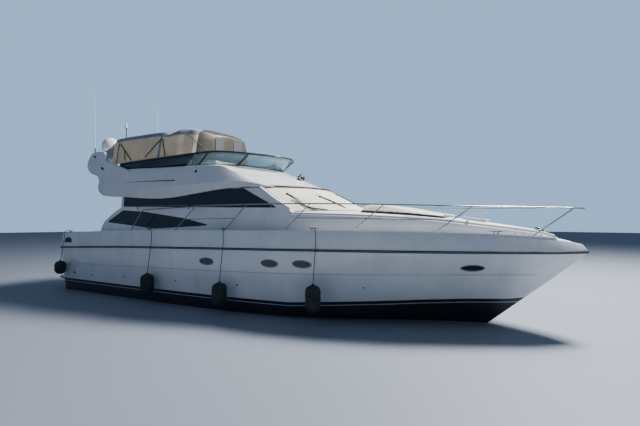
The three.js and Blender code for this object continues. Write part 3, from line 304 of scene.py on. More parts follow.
def join_nodes(material, pairs):
    for output, socket in pairs:
        material.node_tree.links.new(output, socket)


def finish_material(name, light, dark, roughness, metallic=0.0, bump=0.0, coat=0.0, streaks=0.35,
                    scales=(1.4, 220.0, 5.0)):
    """A weathered surface between two colours, with its roughness and fine relief varied."""
    material = bpy.data.materials.new(name)
    material.use_nodes = True
    shader = material.node_tree.nodes["Principled BSDF"]
    shader.inputs["Metallic"].default_value = metallic
    shader.inputs["Coat Weight"].default_value = coat
    worn = add(material, "ShaderNodeGroup")
    worn.node_tree = WEATHERING
    for key, value in zip(("Mottle Scale", "Grain Scale", "Streak Scale"), scales):
        worn.inputs[key].default_value = value
    blend = add(material, "ShaderNodeMix")
    blend.data_type = "FLOAT"
    blend.inputs[0].default_value = streaks
    colour = add(material, "ShaderNodeMix")
    colour.data_type = "RGBA"
    colour.name = "worn_colour"
    colour.inputs[6].default_value = (*dark, 1.0)
    colour.inputs[7].default_value = (*light, 1.0)
    spread = add(material, "ShaderNodeMapRange", From_Min=0.32, From_Max=0.62)
    rough = add(material, "ShaderNodeMapRange", To_Min=roughness * 1.25, To_Max=roughness * 0.8)
    relief = add(material, "ShaderNodeBump", Strength=bump, Distance=0.002)
    join_nodes(material, [
        (worn.outputs["Mottle"], blend.inputs[2]), (worn.outputs["Streak"], blend.inputs[3]),
        (blend.outputs[0], spread.inputs["Value"]), (spread.outputs["Result"], colour.inputs[0]),
        (colour.outputs[2], shader.inputs["Base Color"]), (worn.outputs["Mottle"], rough.inputs["Value"]),
        (rough.outputs["Result"], shader.inputs["Roughness"]),
        (worn.outputs["Grain"], relief.inputs["Height"]),
        (relief.outputs["Normal"], shader.inputs["Normal"]),
    ])
    return material


WHITE = (0.86, 0.87, 0.87)
SOILED_WHITE = (0.74, 0.76, 0.77)
gelcoat = finish_material("white_gelcoat", WHITE, SOILED_WHITE, 0.22, bump=0.03, coat=0.4)


def build_topside_paint():
    """White topsides, a dark boot stripe, a thin pale line and dark bottom paint under it."""
    material = finish_material("topsides_and_bottom_paint", WHITE, SOILED_WHITE, 0.2, bump=0.03, coat=0.5)
    tree = material.node_tree
    shader = tree.nodes["Principled BSDF"]
    place = add(material, "ShaderNodeTexCoord")
    split = add(material, "ShaderNodeSeparateXYZ")
    along = add(material, "ShaderNodeMapRange", From_Min=1.7, From_Max=6.79)
    line = add(material, "ShaderNodeFloatCurve")
    for position, height in ((0.0, 0.40), (0.31, 0.50), (0.55, 0.58), (0.73, 0.62), (1.0, 0.68)):
        if position in (0.0, 1.0):
            line.mapping.curves[0].points[int(position)].location = (position, height)
        else:
            line.mapping.curves[0].points.new(position, height)
    line.mapping.update()
    over = add(material, "ShaderNodeMath")
    over.operation = "SUBTRACT"
    bands = add(material, "ShaderNodeValToRGB")
    bands.color_ramp.interpolation = "CONSTANT"
    bands.color_ramp.elements[0].color = (0.016, 0.019, 0.026, 1.0)
    bands.color_ramp.elements[1].position = 0.5
    bands.color_ramp.elements[1].color = (1.0, 1.0, 1.0, 1.0)
    for position, colour in ((0.40, (0.5, 0.52, 0.53, 1.0)), (0.42, (0.013, 0.015, 0.02, 1.0))):
        element = bands.color_ramp.elements.new(position)
        element.color = colour
    shift = add(material, "ShaderNodeMath")
    shift.operation = "ADD"
    shift.inputs[1].default_value = 0.5
    above = add(material, "ShaderNodeMath")
    above.operation = "GREATER_THAN"
    above.inputs[1].default_value = 0.5
    paint = add(material, "ShaderNodeMix")
    paint.data_type = "RGBA"
    join_nodes(material, [
        (place.outputs["Object"], split.inputs[0]), (split.outputs["X"], along.inputs["Value"]),
        (along.outputs["Result"], line.inputs["Value"]), (split.outputs["Z"], over.inputs[0]),
        (line.outputs["Value"], over.inputs[1]), (over.outputs[0], shift.inputs[0]),
        (shift.outputs[0], bands.inputs["Fac"]), (shift.outputs[0], above.inputs[0]),
        (above.outputs[0], paint.inputs[0]), (bands.outputs["Color"], paint.inputs[6]),
        (tree.nodes["worn_colour"].outputs[2], paint.inputs[7]),
        (paint.outputs[2], shader.inputs["Base Color"]),
    ])
    return material


nonskid = finish_material(
    "non_skid_deck", (0.8, 0.81, 0.8), (0.68, 0.7, 0.7), 0.6, bump=0.5, scales=(1.0, 160.0, 3.0))
# Grey bilge paint; the same grey also draws the painted shade lines along the knuckle and under the trunk's
# edge.
grey_bilge_paint_and_shade_lines = finish_material("grey_bilge_paint_and_shade_lines", (0.42, 0.44, 0.46), (0.3, 0.31, 0.33), 0.5, bump=0.2)
for material in (build_topside_paint(), nonskid, grey_bilge_paint_and_shade_lines):
    hull.data.materials.append(material)
for face in hull.data.polygons:
    inside_engine_room = (-6.301 < face.center.x < -1.899 and abs(face.center.y) < 1.501
                          and -0.151 < face.center.z < 1.06)
    if inside_engine_room:
        face.material_index = 2
    elif face.normal.z > 0.97 and face.center.z > 1.85:
        face.material_index = 1
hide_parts("hull")
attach(hull, "root")

# Hull fittings
# Four oval portlights a side in polished steel rims, outlets over the waterline whose dark discs are painted
# shade in their bores, a grey line of painted shade along the knuckle, and on the bulwark a hawse pipe near
# the transom, its mouth a dark sheet of painted shade in a steel rim, and a courtesy light.
PORTLIGHTS = ((-0.65, 1.31), (1.37, 1.35), (2.26, 1.37), (5.86, 1.37))
PORTLIGHT_SIZE = (0.245, 0.088)
PORTLIGHT_RIM = 0.016
OUTLETS = ((-6.9, 0.62, 0.045), (-5.9, 0.6, 0.025), (-4.2, 0.66, 0.025), (-1.9, 0.7, 0.022),
           (0.3, 0.74, 0.022), (3.6, 0.86, 0.02))


def hull_side(x, z):
    """The point of the port topsides at a place along the boat and a height."""
    for upper, lower in (("rail_low", "knuckle"), ("knuckle", "chine")):
        low, high = 0.0, 1.0
        for _ in range(24):
            t = (low + high) / 2
            stem = HULL_LINES[upper][0] * (1 - t) + HULL_LINES[lower][0] * t
            station = (x - TRANSOM_X) / (stem - TRANSOM_X)
            point = hull_point(upper, station).lerp(hull_point(lower, station), t)
            if point.z > z:
                low = t
            else:
                high = t
        if t < 0.999:
            return point
    return point


def hull_frame(x, z, side):
    """A matrix whose X axis runs along the topsides and whose Z axis points out of them."""
    point = hull_side(x, z)
    along = (hull_side(x + 0.05, z) - hull_side(x - 0.05, z)).normalized()
    up = (hull_side(x, z + 0.04) - hull_side(x, z - 0.04)).normalized()
    outward = up.cross(along).normalized()
    if outward.y < 0:
        outward = -outward
    for vector in (point, along, outward):
        vector.y *= side
    matrix = Matrix((along, outward.cross(along), outward)).transposed().to_4x4()
    matrix.translation = point
    return matrix


def smoothed(piece, degrees=40):
    """Shades a piece smooth except where it turns by more than the degrees."""
    select_only(piece)
    bpy.ops.object.shade_smooth_by_angle(angle=math.radians(degrees))
    return piece


def placed(piece, matrix):
    """Puts a finished mesh in its place and leaves the object at the origin."""
    piece.data.transform(matrix @ piece.matrix_basis)
    piece.matrix_basis = Matrix.Identity(4)
    return piece


def joined(name, parts):
    """Joins meshes into one piece."""
    select_only(*parts)
    bpy.ops.object.join()
    whole = bpy.context.object
    whole.name = name
    return whole


def dressed(piece, material, body="root", replaces=()):
    """Gives a piece its finish and tells the frame what it is."""
    piece.data.materials.clear()
    piece.data.materials.append(material)
    if replaces:
        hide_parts(*replaces)
    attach(piece, body)
    return piece


def disc(radius, depth, sides=32, bevel=0.0):
    """A flat round about the Z axis."""
    bpy.ops.mesh.primitive_cylinder_add(vertices=sides, radius=radius, depth=depth)
    piece = bpy.context.object
    if bevel:
        bevelled(piece, bevel, 2)
    return piece


def loft(name, rings, degrees=40):
    """Skins closed rings of points with equal counts, and closes both ends."""
    count = len(rings[0])
    skin = grid_skin(name, len(rings), count + 1, lambda i, j: Vector(rings[i][j % count]))
    merge_doubles(0.0003, lambda: bpy.ops.mesh.fill_holes(sides=0))
    return smoothed(skin, degrees)


def circle(count):
    """The angles of points evenly set round a circle."""
    return [k * 2 * math.pi / count for k in range(count)]


def curve_through(points, steps):
    """Evenly numbered points on a smooth curve through the given ones."""
    points = [Vector(point) for point in points]
    knots = list(range(len(points)))
    axes = [[point[axis] for point in points] for axis in range(3)]
    return [Vector([smooth(knots, axis, k * (len(points) - 1) / steps) for axis in axes])
            for k in range(steps + 1)]


def tube(name, points, radius, sides=12, steps=None):
    """A round bar or tube along points; its section doesn't twist."""
    run = curve_through(points, steps) if steps else [Vector(point) for point in points]
    rings = []
    across = None
    for k, point in enumerate(run):
        ahead = run[min(k + 1, len(run) - 1)] - run[max(k - 1, 0)]
        ahead.normalize()
        if across is None:
            across = ahead.orthogonal().normalized()
        across = (across - ahead * across.dot(ahead)).normalized()
        upward = ahead.cross(across)
        size = radius(k / (len(run) - 1)) if callable(radius) else radius
        rings.append([point + (across * math.cos(a) + upward * math.sin(a)) * size for a in circle(sides)])
    return loft(name, rings, degrees=50)


def torus(radius, thickness, segments, sides):
    """A ring about the Z axis."""
    bpy.ops.mesh.primitive_torus_add(
        major_segments=segments, minor_segments=sides, major_radius=radius, minor_radius=thickness)
    return bpy.context.object


def oval(half_x, half_y, depth, sides):
    """A flat oval about the Z axis."""
    piece = disc(1.0, depth, sides)
    piece.scale = (half_x, half_y, 1.0)
    bpy.ops.object.transform_apply(location=False, rotation=False, scale=True)
    return piece


def seated(place, *turns):
    """A matrix that puts a piece at a place, turned by degrees about each axis in turn."""
    matrix = Matrix.Translation(place)
    for degrees, axis in turns:
        matrix = matrix @ Matrix.Rotation(math.radians(degrees), 4, axis)
    return matrix


steel = finish_material("polished_steel", (0.42, 0.43, 0.44), (0.26, 0.28, 0.30), 0.16, metallic=1.0,
                        bump=0.05, scales=(6.0, 400.0, 20.0))
black_frame = finish_material("black_coated_metal", (0.016, 0.018, 0.02), (0.03, 0.032, 0.035), 0.32,
                              bump=0.1, scales=(8.0, 300.0, 12.0))
# Dark rubber; the same dark also stands as painted shade in the hawse mouths, along the flybridge sides, at
# the windscreen's head and under the sunpad.
dark_rubber = finish_material(
    "dark_rubber", (0.028, 0.029, 0.032), (0.012, 0.013, 0.015), 0.5, bump=0.3, scales=(5.0, 260.0, 9.0))


def glass_material(name, colour, roughness, alpha=1.0):
    """Glazing with faint streaks of salt on it."""
    material = finish_material(name, colour, tuple(c * 0.7 + 0.006 for c in colour), roughness, bump=0.01,
                               coat=0.3, scales=(2.5, 60.0, 7.0))
    material.node_tree.nodes["Principled BSDF"].inputs["Alpha"].default_value = alpha
    return material


# Dark tinted glass; the same dark also stands as painted shade in the hull outlets and the fin vents.
dark_glass_and_shade = glass_material("dark_tinted_glass_and_shade", (0.013, 0.022, 0.038), roughness=0.05)
rims, panes_and_shade_discs = [], []
for side in (-1, 1):
    for x, z in PORTLIGHTS:
        seat = hull_frame(x, z, side)
        rim = torus(1.0, 0.1, 56, 10)
        for vertex in rim.data.vertices:
            angle = math.atan2(vertex.co.y, vertex.co.x)
            reach = math.hypot(vertex.co.x, vertex.co.y) - 1.0
            wide, high = PORTLIGHT_SIZE
            vertex.co.x = math.cos(angle) * (wide + reach * PORTLIGHT_RIM * 10)
            vertex.co.y = math.sin(angle) * (high + reach * PORTLIGHT_RIM * 10)
            vertex.co.z *= 0.10
        rims.append(placed(rim, seat))
        pane = oval(PORTLIGHT_SIZE[0] * 0.985, PORTLIGHT_SIZE[1] * 0.985, 0.012, 56)
        panes_and_shade_discs.append(placed(pane, seat @ seated((0, 0, -0.001))))
    # Each outlet is a steel ring round a dark disc of painted shade that stands for its bore.
    for x, z, radius in OUTLETS:
        seat = hull_frame(x, z, side)
        rims.append(placed(torus(radius, radius * 0.24, 24, 8), seat))
        panes_and_shade_discs.append(placed(disc(radius * 0.9, 0.004, sides=24), seat))
dressed(smoothed(joined("portlight_rims", rims)), steel)
dressed(smoothed(joined("portlight_panes_and_outlet_shades", panes_and_shade_discs)), dark_glass_and_shade)

# A thin grey tube along the knuckle is painted shade under it.
KNUCKLE_LINE = [hull_point("knuckle", 0.01 + 0.965 * k / 90) for k in range(91)]
lines = []
for side in (-1, 1):
    run = [Vector((p.x, side * (p.y + 0.001), p.z - 0.004)) for p in KNUCKLE_LINE]
    lines.append(tube("knuckle_shade_line", run, 0.006, sides=6))
dressed(joined("knuckle_shade_lines", lines), grey_bilge_paint_and_shade_lines)


def bulwark(x, z):
    """The half breadth of the bulwark between the rubbing strake and the deck edge."""
    low = hull_at("rail_high", x)
    high = deck_edge_at(x)
    return low.y + (high.y - low.y) * (z - low.z) / (high.z - low.z)


COURTESY_X, COURTESY_Z = -4.44, 1.81
HAWSE = {"x": -7.2, "foot": 1.64, "half": 0.22, "rise": 0.17}
arch_line = [(HAWSE["x"] + HAWSE["half"] * math.cos(math.pi * k / 20),
              HAWSE["foot"] + HAWSE["rise"] * math.sin(math.pi * k / 20) ** 0.7) for k in range(21)]
hawse_mouth_shades, hawse_rims, courtesy = [], [], []
for side in (-1, 1):
    # The dark arch inside each rim is a sheet of painted shade for the hawse pipe's open mouth.
    hawse_mouth_shades.append(loft("hawse", [[(x, side * (bulwark(x, z) + out), z) for x, z in arch_line]
                                 for out in (0.003, -0.01)]))
    run = [(x, side * (bulwark(x, z) + 0.004), z) for x, z in arch_line]
    hawse_rims.append(tube("hawse_rim", run + run[:1], 0.009, sides=8))
    seat = seated((COURTESY_X, side * bulwark(COURTESY_X, COURTESY_Z), COURTESY_Z), (90, "X"))
    courtesy.append(placed(disc(0.032, 0.02, sides=24, bevel=0.005), seat))
dressed(joined("hawse_mouth_shade", hawse_mouth_shades), dark_rubber)
dressed(smoothed(joined("hawse_rims", hawse_rims), 50), steel)
dressed(smoothed(joined("courtesy_lights", courtesy)), gelcoat)

# Rubbing strake
# A slim black rubber strake runs round the boat at the deck joint, from quarter to quarter, with a narrow
# steel strip let into its face.
STRAKE_RUN = [k / 90 for k in range(91)]


def strake_ring(station, side, heights, reach):
    """The strake's section at a station: heights about its middle and how far each reaches out."""
    point = hull_point("rail_low", station).lerp(hull_point("rail_high", station), 0.5)
    stem = station > 0.9999
    before = hull_point("rail_low", max(station - 0.01, 0))
    after = hull_point("rail_low", min(station + 0.01, 1))
    outward = Vector((1, 0, 0)) if stem else (after - before).cross(Vector((0, 0, 1))) * -1
    outward.z = 0
    outward.normalize()
    ring = []
    for height, share in zip(heights, reach):
        spot = point + outward * share + Vector((0, 0, height))
        ring.append(Vector((spot.x, 0.0 if stem else side * spot.y, spot.z)))
    return ring


def strake(name, heights, reach, material, replaces=()):
    starboard = [strake_ring(s, -1, heights, reach) for s in STRAKE_RUN[:-1]]
    port = [strake_ring(s, 1, heights, reach) for s in reversed(STRAKE_RUN[:-1])]
    piece = loft(name, [*starboard, strake_ring(1.0, 1, heights, reach), *port], degrees=50)
    return dressed(piece, material, replaces=replaces)


strake("rubbing_strake", (-0.028, -0.027, -0.016, 0.016, 0.027, 0.028),
       (-0.004, 0.018, 0.030, 0.030, 0.018, -0.004), dark_rubber, replaces=("rub_rail",))
strake("strake_insert", (-0.008, -0.006, 0.006, 0.008), (0.027, 0.034, 0.034, 0.027), steel)

# Trunk cabin
# The raised trunk over the forward cabins is one white moulding with a crowned non-skid top and, under its
# edge, a fine dark line of painted shade for a groove. It has the foredeck hatch's coaming and opening, and
# round caps on sides and top.
TRUNK = {
    "x": (1.75, 2.6, 3.8, 5.1, 6.1, 7.0, 7.38),
    "half": (1.985, 1.88, 1.59, 1.15, 0.76, 0.33, 0.06),
    "edge": (2.59, 2.565, 2.515, 2.425, 2.3, 2.17, 2.075),
    "crown": (0.095, 0.085, 0.065, 0.05, 0.035, 0.02, 0.008),
}
HATCH = {"x0": 5.48, "x1": 6.02, "half": 0.27, "slope": 7.2}
HATCH_LIP = 0.045


def trunk(key, x):
    return smooth(TRUNK["x"], TRUNK[key], x)


def trunk_top(x, y):
    return trunk("edge", x) + trunk("crown", x) * (1 - (y / trunk("half", x)) ** 2)


def trunk_ring(x):
    half, edge, crown = trunk("half", x), trunk("edge", x), trunk("crown", x)
    foot = deck_edge_at(x).z + 0.0005
    shoulder = min(0.06, half * 0.4)
    inner = half - shoulder
    points = [(half + 0.012, foot), (half + 0.008, foot + 0.02), (half + 0.002, foot + (edge - foot) * 0.4),
              (half - shoulder * 0.22, edge - 0.062)]
    points += [(half - shoulder * (0.34 + 0.66 * math.sin(k * math.pi / 8)),
                edge - 0.052 + 0.052 * (1 - math.cos(k * math.pi / 8)) ** 0.8) for k in range(5)]
    points += [(inner * (1 - t), edge + crown * (1 - (1 - t) ** 2)) for t in (0.15, 0.3, 0.5, 0.75)]
    ring = [Vector((x, y, z)) for y, z in points]
    return ring + [Vector((x, 0, edge + crown))] + [Vector((x, -p.y, p.z)) for p in reversed(ring)]


trunk_aft, trunk_fore = TRUNK["x"][0], TRUNK["x"][-1]
trunk_rings = [trunk_ring(trunk_aft + (trunk_fore - trunk_aft) * k / 70) for k in range(71)]
trunk_cabin = loft("trunk_moulding", trunk_rings, degrees=35)


def hatch_box(low, high, x0, x1, half):
    """A box about the foredeck hatch, square to the trunk's top there."""
    middle = (HATCH["x0"] + HATCH["x1"]) / 2
    box = box_primitive((x0 - middle, -half, low), (x1 - middle, half, high))
    return placed(box, seated((middle, 0, trunk_top(middle, 0)), (HATCH["slope"], "Y")))


coaming = hatch_box(-0.12, 0.026, HATCH["x0"], HATCH["x1"], HATCH["half"])
bevelled(coaming, 0.012, 3)
finish_with(trunk_cabin, "BOOLEAN", operation="UNION", solver="EXACT", object=coaming)
bpy.data.objects.remove(coaming)
cut_away(trunk_cabin, hatch_box(-0.3, 0.2, HATCH["x0"] + HATCH_LIP, HATCH["x1"] - HATCH_LIP,
                                HATCH["half"] - HATCH_LIP))
smoothed(trunk_cabin, 35)
dressed(trunk_cabin, gelcoat, replaces=("trunk_cabin",))
trunk_cabin.data.materials.append(nonskid)
for face in trunk_cabin.data.polygons:
    x, y, z = face.center
    if face.normal.z > 0.9 and 1.9 < x < 7.2 and abs(y) < trunk("half", x) - 0.16 and z > trunk("edge", x):
        face.material_index = 1
# A thin dark tube under each edge is painted shade standing for the groove there.
groove_shade_lines = []
for side in (-1, 1):
    run = []
    for k in range(61):
        x = 1.85 + (7.0 - 1.85) * k / 60
        run.append((x, side * (trunk("half", x) - min(0.06, trunk("half", x) * 0.4) * 0.15 + 0.002),
                    trunk("edge", x) - 0.075))
    groove_shade_lines.append(tube("trunk_groove_shade", run, 0.005, sides=6))
dressed(joined("trunk_groove_shade_line", groove_shade_lines), grey_bilge_paint_and_shade_lines)

STUD_X, STUD_Y = 5.71, 0.85
FILLERS = ((6.63, 2.10), (6.80, 2.10), (7.13, 2.07))
small = []
for side in (-1, 1):
    for x, z in FILLERS:
        seat = seated((x, side * (trunk("half", x) + 0.004), z), (90, "X"), (-25 * side, "Y"))
        small.append(placed(disc(0.022, 0.016, sides=24, bevel=0.004), seat))
    seat = seated((STUD_X, side * STUD_Y, trunk_top(STUD_X, STUD_Y) + 0.01))
    small.append(placed(disc(0.026, 0.05, sides=24, bevel=0.008), seat))
dressed(smoothed(joined("deck_fillers", small)), grey_bilge_paint_and_shade_lines)

# Flybridge moulding
# One white moulding makes the roof of the saloon, the brow over the windscreen and the coaming round the
# upper deck. It rests on the cabin's sides; its well and the stair opening are cut out.
FLY = {
    "x": (-5.95, -5.6, -4.4, -3.2, -2.4, -1.4, -0.6, -0.2, 0.2, 0.45, 0.7, 0.9, 1.06, 1.27, 1.4, 1.46, 1.5),
    "y": (
        (1.95, 2.0, 2.03, 2.03, 2.03, 2.03, 2.03, 2.02, 1.99, 1.945, 1.86, 1.7, 1.4, 1.0, 0.68, 0.45, 0.12),
        (1.98, 2.05, 2.08, 2.1, 2.1, 2.1, 2.08, 2.055, 2.01, 1.96, 1.87, 1.708, 1.408, 1.006, 0.685, 0.455,
         0.124),
        (1.9, 1.92, 1.9, 1.88, 1.86, 1.84, 1.825, 1.84, 1.85, 1.845, 1.82, 1.675, 1.375, 0.975, 0.655, 0.43,
         0.11),
        (1.8, 1.82, 1.8, 1.78, 1.76, 1.64, 1.45, 1.4, 1.2, 1.18, 1.15, 1.08, 0.9, 0.64, 0.43, 0.28, 0.07),
        (1.0, 1.0, 1.0, 1.0, 1.0, 1.0, 1.08, 0.56, 0.6, 0.6, 0.56, 0.52, 0.44, 0.32, 0.21, 0.14, 0.035),
        (0.0,) * 17,
    ),
    "z": (
        (3.355, 3.2, 3.12, 3.045, 3.05, 3.14, 3.22, 3.25, 3.27, 3.265, 3.26, 3.256, 3.258, 3.262, 3.268,
         3.274, 3.28),
        (3.52, 3.45, 3.4, 3.38, 3.38, 3.4, 3.42, 3.425, 3.42, 3.39, 3.335, 3.285, 3.283, 3.283, 3.286, 3.29,
         3.294),
        (3.78, 3.95, 3.99, 3.96, 3.945, 3.935, 3.89, 3.73, 3.58, 3.47, 3.365, 3.305, 3.3, 3.298, 3.3, 3.3,
         3.3),
        (3.815, 3.975, 4.015, 3.985, 3.975, 3.965, 3.93, 3.79, 3.65, 3.56, 3.455, 3.375, 3.345, 3.322, 3.312,
         3.306, 3.302),
        (3.815, 3.975, 4.015, 3.985, 3.98, 3.98, 3.975, 3.925, 3.735, 3.655, 3.565, 3.48, 3.425, 3.365, 3.335,
         3.32, 3.306),
        (3.815, 3.975, 4.015, 3.985, 3.98, 3.98, 3.978, 3.945, 3.79, 3.705, 3.635, 3.545, 3.475, 3.4, 3.35,
         3.33, 3.312),
    ),
}
FLY_COLUMNS = (0, 0.5, 1, 1.35, 1.7, 2, 2.2, 2.5, 2.75, 3, 3.5, 4, 4.5, 5)
FLY_DECK_Z = 3.38
TUB = ((-5.8, 1.69), (-2.9, 1.66), (-1.75, 1.5), (-1.2, 1.27), (-0.8, 0.96), (-0.58, 0.64), (-0.36, 0.33),
       (-0.26, 0))
ROOF_EDGE = ((-5.78, 1.93), (0.15, 1.905), (0.62, 1.75), (0.82, 1.56), (0.98, 1.26), (1.17, 0.86),
             (1.33, 0.44), (1.38, 0))
STAIR_WELL = ((-5.55, 0.88, 3.0), (-4.72, 1.6, 3.6))


def fly_point(x, column):
    """A point of the moulding's port half: column 0 is its lower edge and 5 its centreline."""
    ys = [smooth(FLY["x"], row, x) for row in FLY["y"]]
    zs = [smooth(FLY["x"], row, x) for row in FLY["z"]]
    i = min(int(column), 4)
    if column in (0, 0.5, 1):
        t = column
        return Vector((x, ys[0] + (ys[1] - ys[0]) * t, zs[0] + (zs[1] - zs[0]) * t))
    knots = (1, 2, 3, 4, 5)
    soft = Vector((x, smooth(knots, ys[1:], column), smooth(knots, zs[1:], column)))
    t = column - i
    flat = Vector((x, ys[i] + (ys[i + 1] - ys[i]) * t, zs[i] + (zs[i + 1] - zs[i]) * t))
    return soft.lerp(flat, 0.5)


def fly_side(x, z):
    """The point of the moulding's port side at a place along it and a height."""
    low, high = 0.0, 2.2
    for _ in range(20):
        middle = (low + high) / 2
        if fly_point(x, middle).z < z:
            low = middle
        else:
            high = middle
    return fly_point(x, low)


def fly_ring(x):
    half = [fly_point(x, column) for column in FLY_COLUMNS]
    return half + [Vector((x, -p.y, p.z)) for p in reversed(half[:-1])]


def prism(name, half, z0, z1):
    """A block whose plan is a half outline and its mirror image."""
    outline = list(half) + [(x, -y) for x, y in reversed(half[:-1])]
    return loft(name, [[(x, y, z) for x, y in outline] for z in (z0, z1)])


FLY_ROWS = [-5.95 + 6.35 * k / 60 for k in range(60)] + [0.4 + 1.1 * k / 30 for k in range(31)]
flybridge = loft("flybridge_shell", [fly_ring(x) for x in FLY_ROWS], degrees=30)
cut_away(flybridge, prism("well", TUB, FLY_DECK_Z, 4.5))
cut_away(flybridge, prism("saloon_head", ROOF_EDGE, 2.8, 3.3))
cut_away(flybridge, box_primitive(*STAIR_WELL))
bevelled(flybridge, 0.012, 2, 50)
smoothed(flybridge, 30)
dressed(flybridge, gelcoat, replaces=("flybridge_moulding",))
flybridge.data.materials.append(nonskid)
for face in flybridge.data.polygons:
    if face.normal.z > 0.98 and abs(face.center.z - FLY_DECK_Z) < 0.01:
        face.material_index = 1

trims = []
for side in (-1, 1):
    # A dark wedge along each side, widening forward, is painted shade for a groove in the moulding; the brow
    # seal below is a black rubber seal.
    run = [fly_side(-4.37 + 2.17 * k / 24, 3.58 - 0.038 * (k / 24) ** 2) for k in range(25)]
    run = [Vector((p.x, side * (p.y + 0.001), p.z)) for p in run]
    trims.append(tube("side_groove_shade", run, lambda t: 0.004 + 0.012 * t, sides=6))
    lip = [fly_point(x, 0) for x in (0.25 + 1.25 * k / 40 for k in range(41))]
    trims.append(
        tube("brow_seal", [Vector((p.x, side * (p.y - 0.012), p.z - 0.004)) for p in lip], 0.012, sides=6))
dressed(joined("flybridge_groove_shade_and_brow_seal", trims), dark_rubber)

# Side lights
# Round courtesy lights with dark lenses are let flush into the flybridge side and the fins of the arch. An
# oval vent stands in each fin, its opening a flat dark oval of painted shade.
lights = []
for side in (-1, 1):
    for point, outward in ((fly_side(-1.46, 3.778), Vector((0, 0.9, 0.42))),
                           (Vector((-6.105, 1.99, 4.518)), Vector((0, 1, 0)))):
        seat = Vector((0, outward.y * side, outward.z)).to_track_quat("Z", "X").to_matrix().to_4x4()
        seat.translation = (point.x, point.y * side, point.z)
        lights.append(placed(disc(0.048, 0.014, bevel=0.004), seat))
dressed(smoothed(joined("side_lights", lights)), black_frame)
vent_shades = []
for side in (-1, 1):
    seat = seated((-5.69, side * 1.990, 4.105), (90 * side, "X"), (-22 * side, "Z"))
    vent_shades.append(placed(oval(0.10, 0.035, 0.008, 40), seat))
dressed(smoothed(joined("fin_vent_shades", vent_shades)), dark_glass_and_shade)

# Saloon sides
# Each side of the saloon is one white moulding that leans in a little and sweeps down aft as a wing beside
# the cockpit. The glass of its two openings is bonded flush behind black gaskets.
UPPER_WINDOW = ((-4.645, 2.83), (1.34, 2.715), (0.243, 3.238), (-4.645, 3.25))
LOWER_WINDOW = ((-5.4, 2.335), (-3.11, 2.15), (-1.15, 2.245), (-0.93, 2.265), (-1.84, 2.44), (-3.56, 2.64),
                (-4.65, 2.703))
WALL_TOP = ((1.75, 2.7), (0.7, 3.24), (0.15, 3.255), (0.09, 3.3), (-4.775, 3.3), (-4.775, 2.79),
            (-4.93, 2.735), (-5.26, 2.56), (-5.58, 2.35), (-5.68, 2.2))
WALL_DEPTH = 0.09
GLASS_RECESS, GLASS_DEPTH = 0.012, 0.02


def wall_y(z):
    return 2.0 - 0.09 * (z - 2.1)


def rounded(outline, radius, steps=6):
    """The closed outline with its corners rounded."""
    points = []
    for k, corner in enumerate(outline):
        corner = Vector(corner)
        before, after = Vector(outline[k - 1]) - corner, Vector(outline[(k + 1) % len(outline)]) - corner
        start = corner + before.normalized() * min(radius, before.length * 0.45)
        end = corner + after.normalized() * min(radius, after.length * 0.45)
        for step in range(steps + 1):
            t = step / steps
            points.append(start.lerp(corner, t).lerp(corner.lerp(end, t), t))
    return points


def plate(name, outline, outer, depth, side=1, recess=0.0):
    """A flat sheet cut to an outline in x and z; outer gives the half breadth of its outer face."""
    return loft(name, [[(x, side * (outer(z) - recess - d), z) for x, z in outline] for d in (0.0, depth)])


SIDES = ((-1, "starboard"), (1, "port"))
WALL_AFT = -5.75
wall_foot = [(x, deck_edge_at(x).z - 0.004) for x in (WALL_AFT + 0.5 * k for k in range(16))]
wall_outline = wall_foot + list(WALL_TOP)
gaskets = []
for side, word in SIDES:
    wall = plate("saloon_wall_" + word, wall_outline, wall_y, WALL_DEPTH, side)
    for outline, radius in ((UPPER_WINDOW, 0.05), (LOWER_WINDOW, 0.09)):
        opening = rounded(outline, radius)
        cut_away(wall, plate("opening", opening, lambda z: wall_y(z) + 0.1, 0.4, side))
        edge = [(x, side * (wall_y(z) - 0.004), z) for x, z in opening]
        gaskets.append(tube("gasket", edge + edge[:1], 0.009, sides=6))
    bevelled(wall, 0.008, 2, 60)
    dressed(smoothed(wall, 30), gelcoat, replaces=("saloon_side_" + word,))
    for name, outline, radius in (("saloon_window_", UPPER_WINDOW, 0.05),
                                  ("aft_cabin_window_", LOWER_WINDOW, 0.09)):
        pane = plate("pane_" + name + word, rounded(outline, radius), wall_y, GLASS_DEPTH, side, GLASS_RECESS)
        dressed(pane, dark_glass_and_shade, replaces=(name + word,))
dressed(joined("window_gaskets", gaskets), dark_rubber)

GRAB_SPANS = ((-3.9, -1.7), (-1.5, 1.2))
GRAB_FOOT_Z, GRAB_Z = 2.71, 2.815
grab_end = ((0.0, wall_y(GRAB_FOOT_Z) - 0.005, GRAB_FOOT_Z), (0.0, wall_y(GRAB_FOOT_Z) + 0.03, 2.735),
            (0.0, 2.0, GRAB_Z - 0.02), (0.03, 2.005, GRAB_Z))
grab_rails = []
for side in (-1, 1):
    for x0, x1 in GRAB_SPANS:
        run = [(x0 + shift, side * y, z) for shift, y, z in grab_end]
        run += [(x1 - shift, side * y, z) for shift, y, z in reversed(grab_end)]
        grab_rails.append(tube("grab_rail", run, 0.012, sides=10))
dressed(joined("grab_rails", grab_rails), steel)

# Windscreen surround
# A white moulded strip on each side closes the space between the windscreen's glass and the cabin's side.
# The places on the windscreen that the cover and the wipers need are worked out here too.
SCREEN_Y = (0.0, 0.6, 1.15, 1.55, 1.76)
SCREEN_LOW_X = (2.85, 2.76, 2.43, 2.02, 1.79)
SCREEN_HIGH_X = (1.47, 1.4, 1.17, 0.93, 0.76)
SCREEN_TOP_Z = 3.255
SCREEN_SINK = 0.025


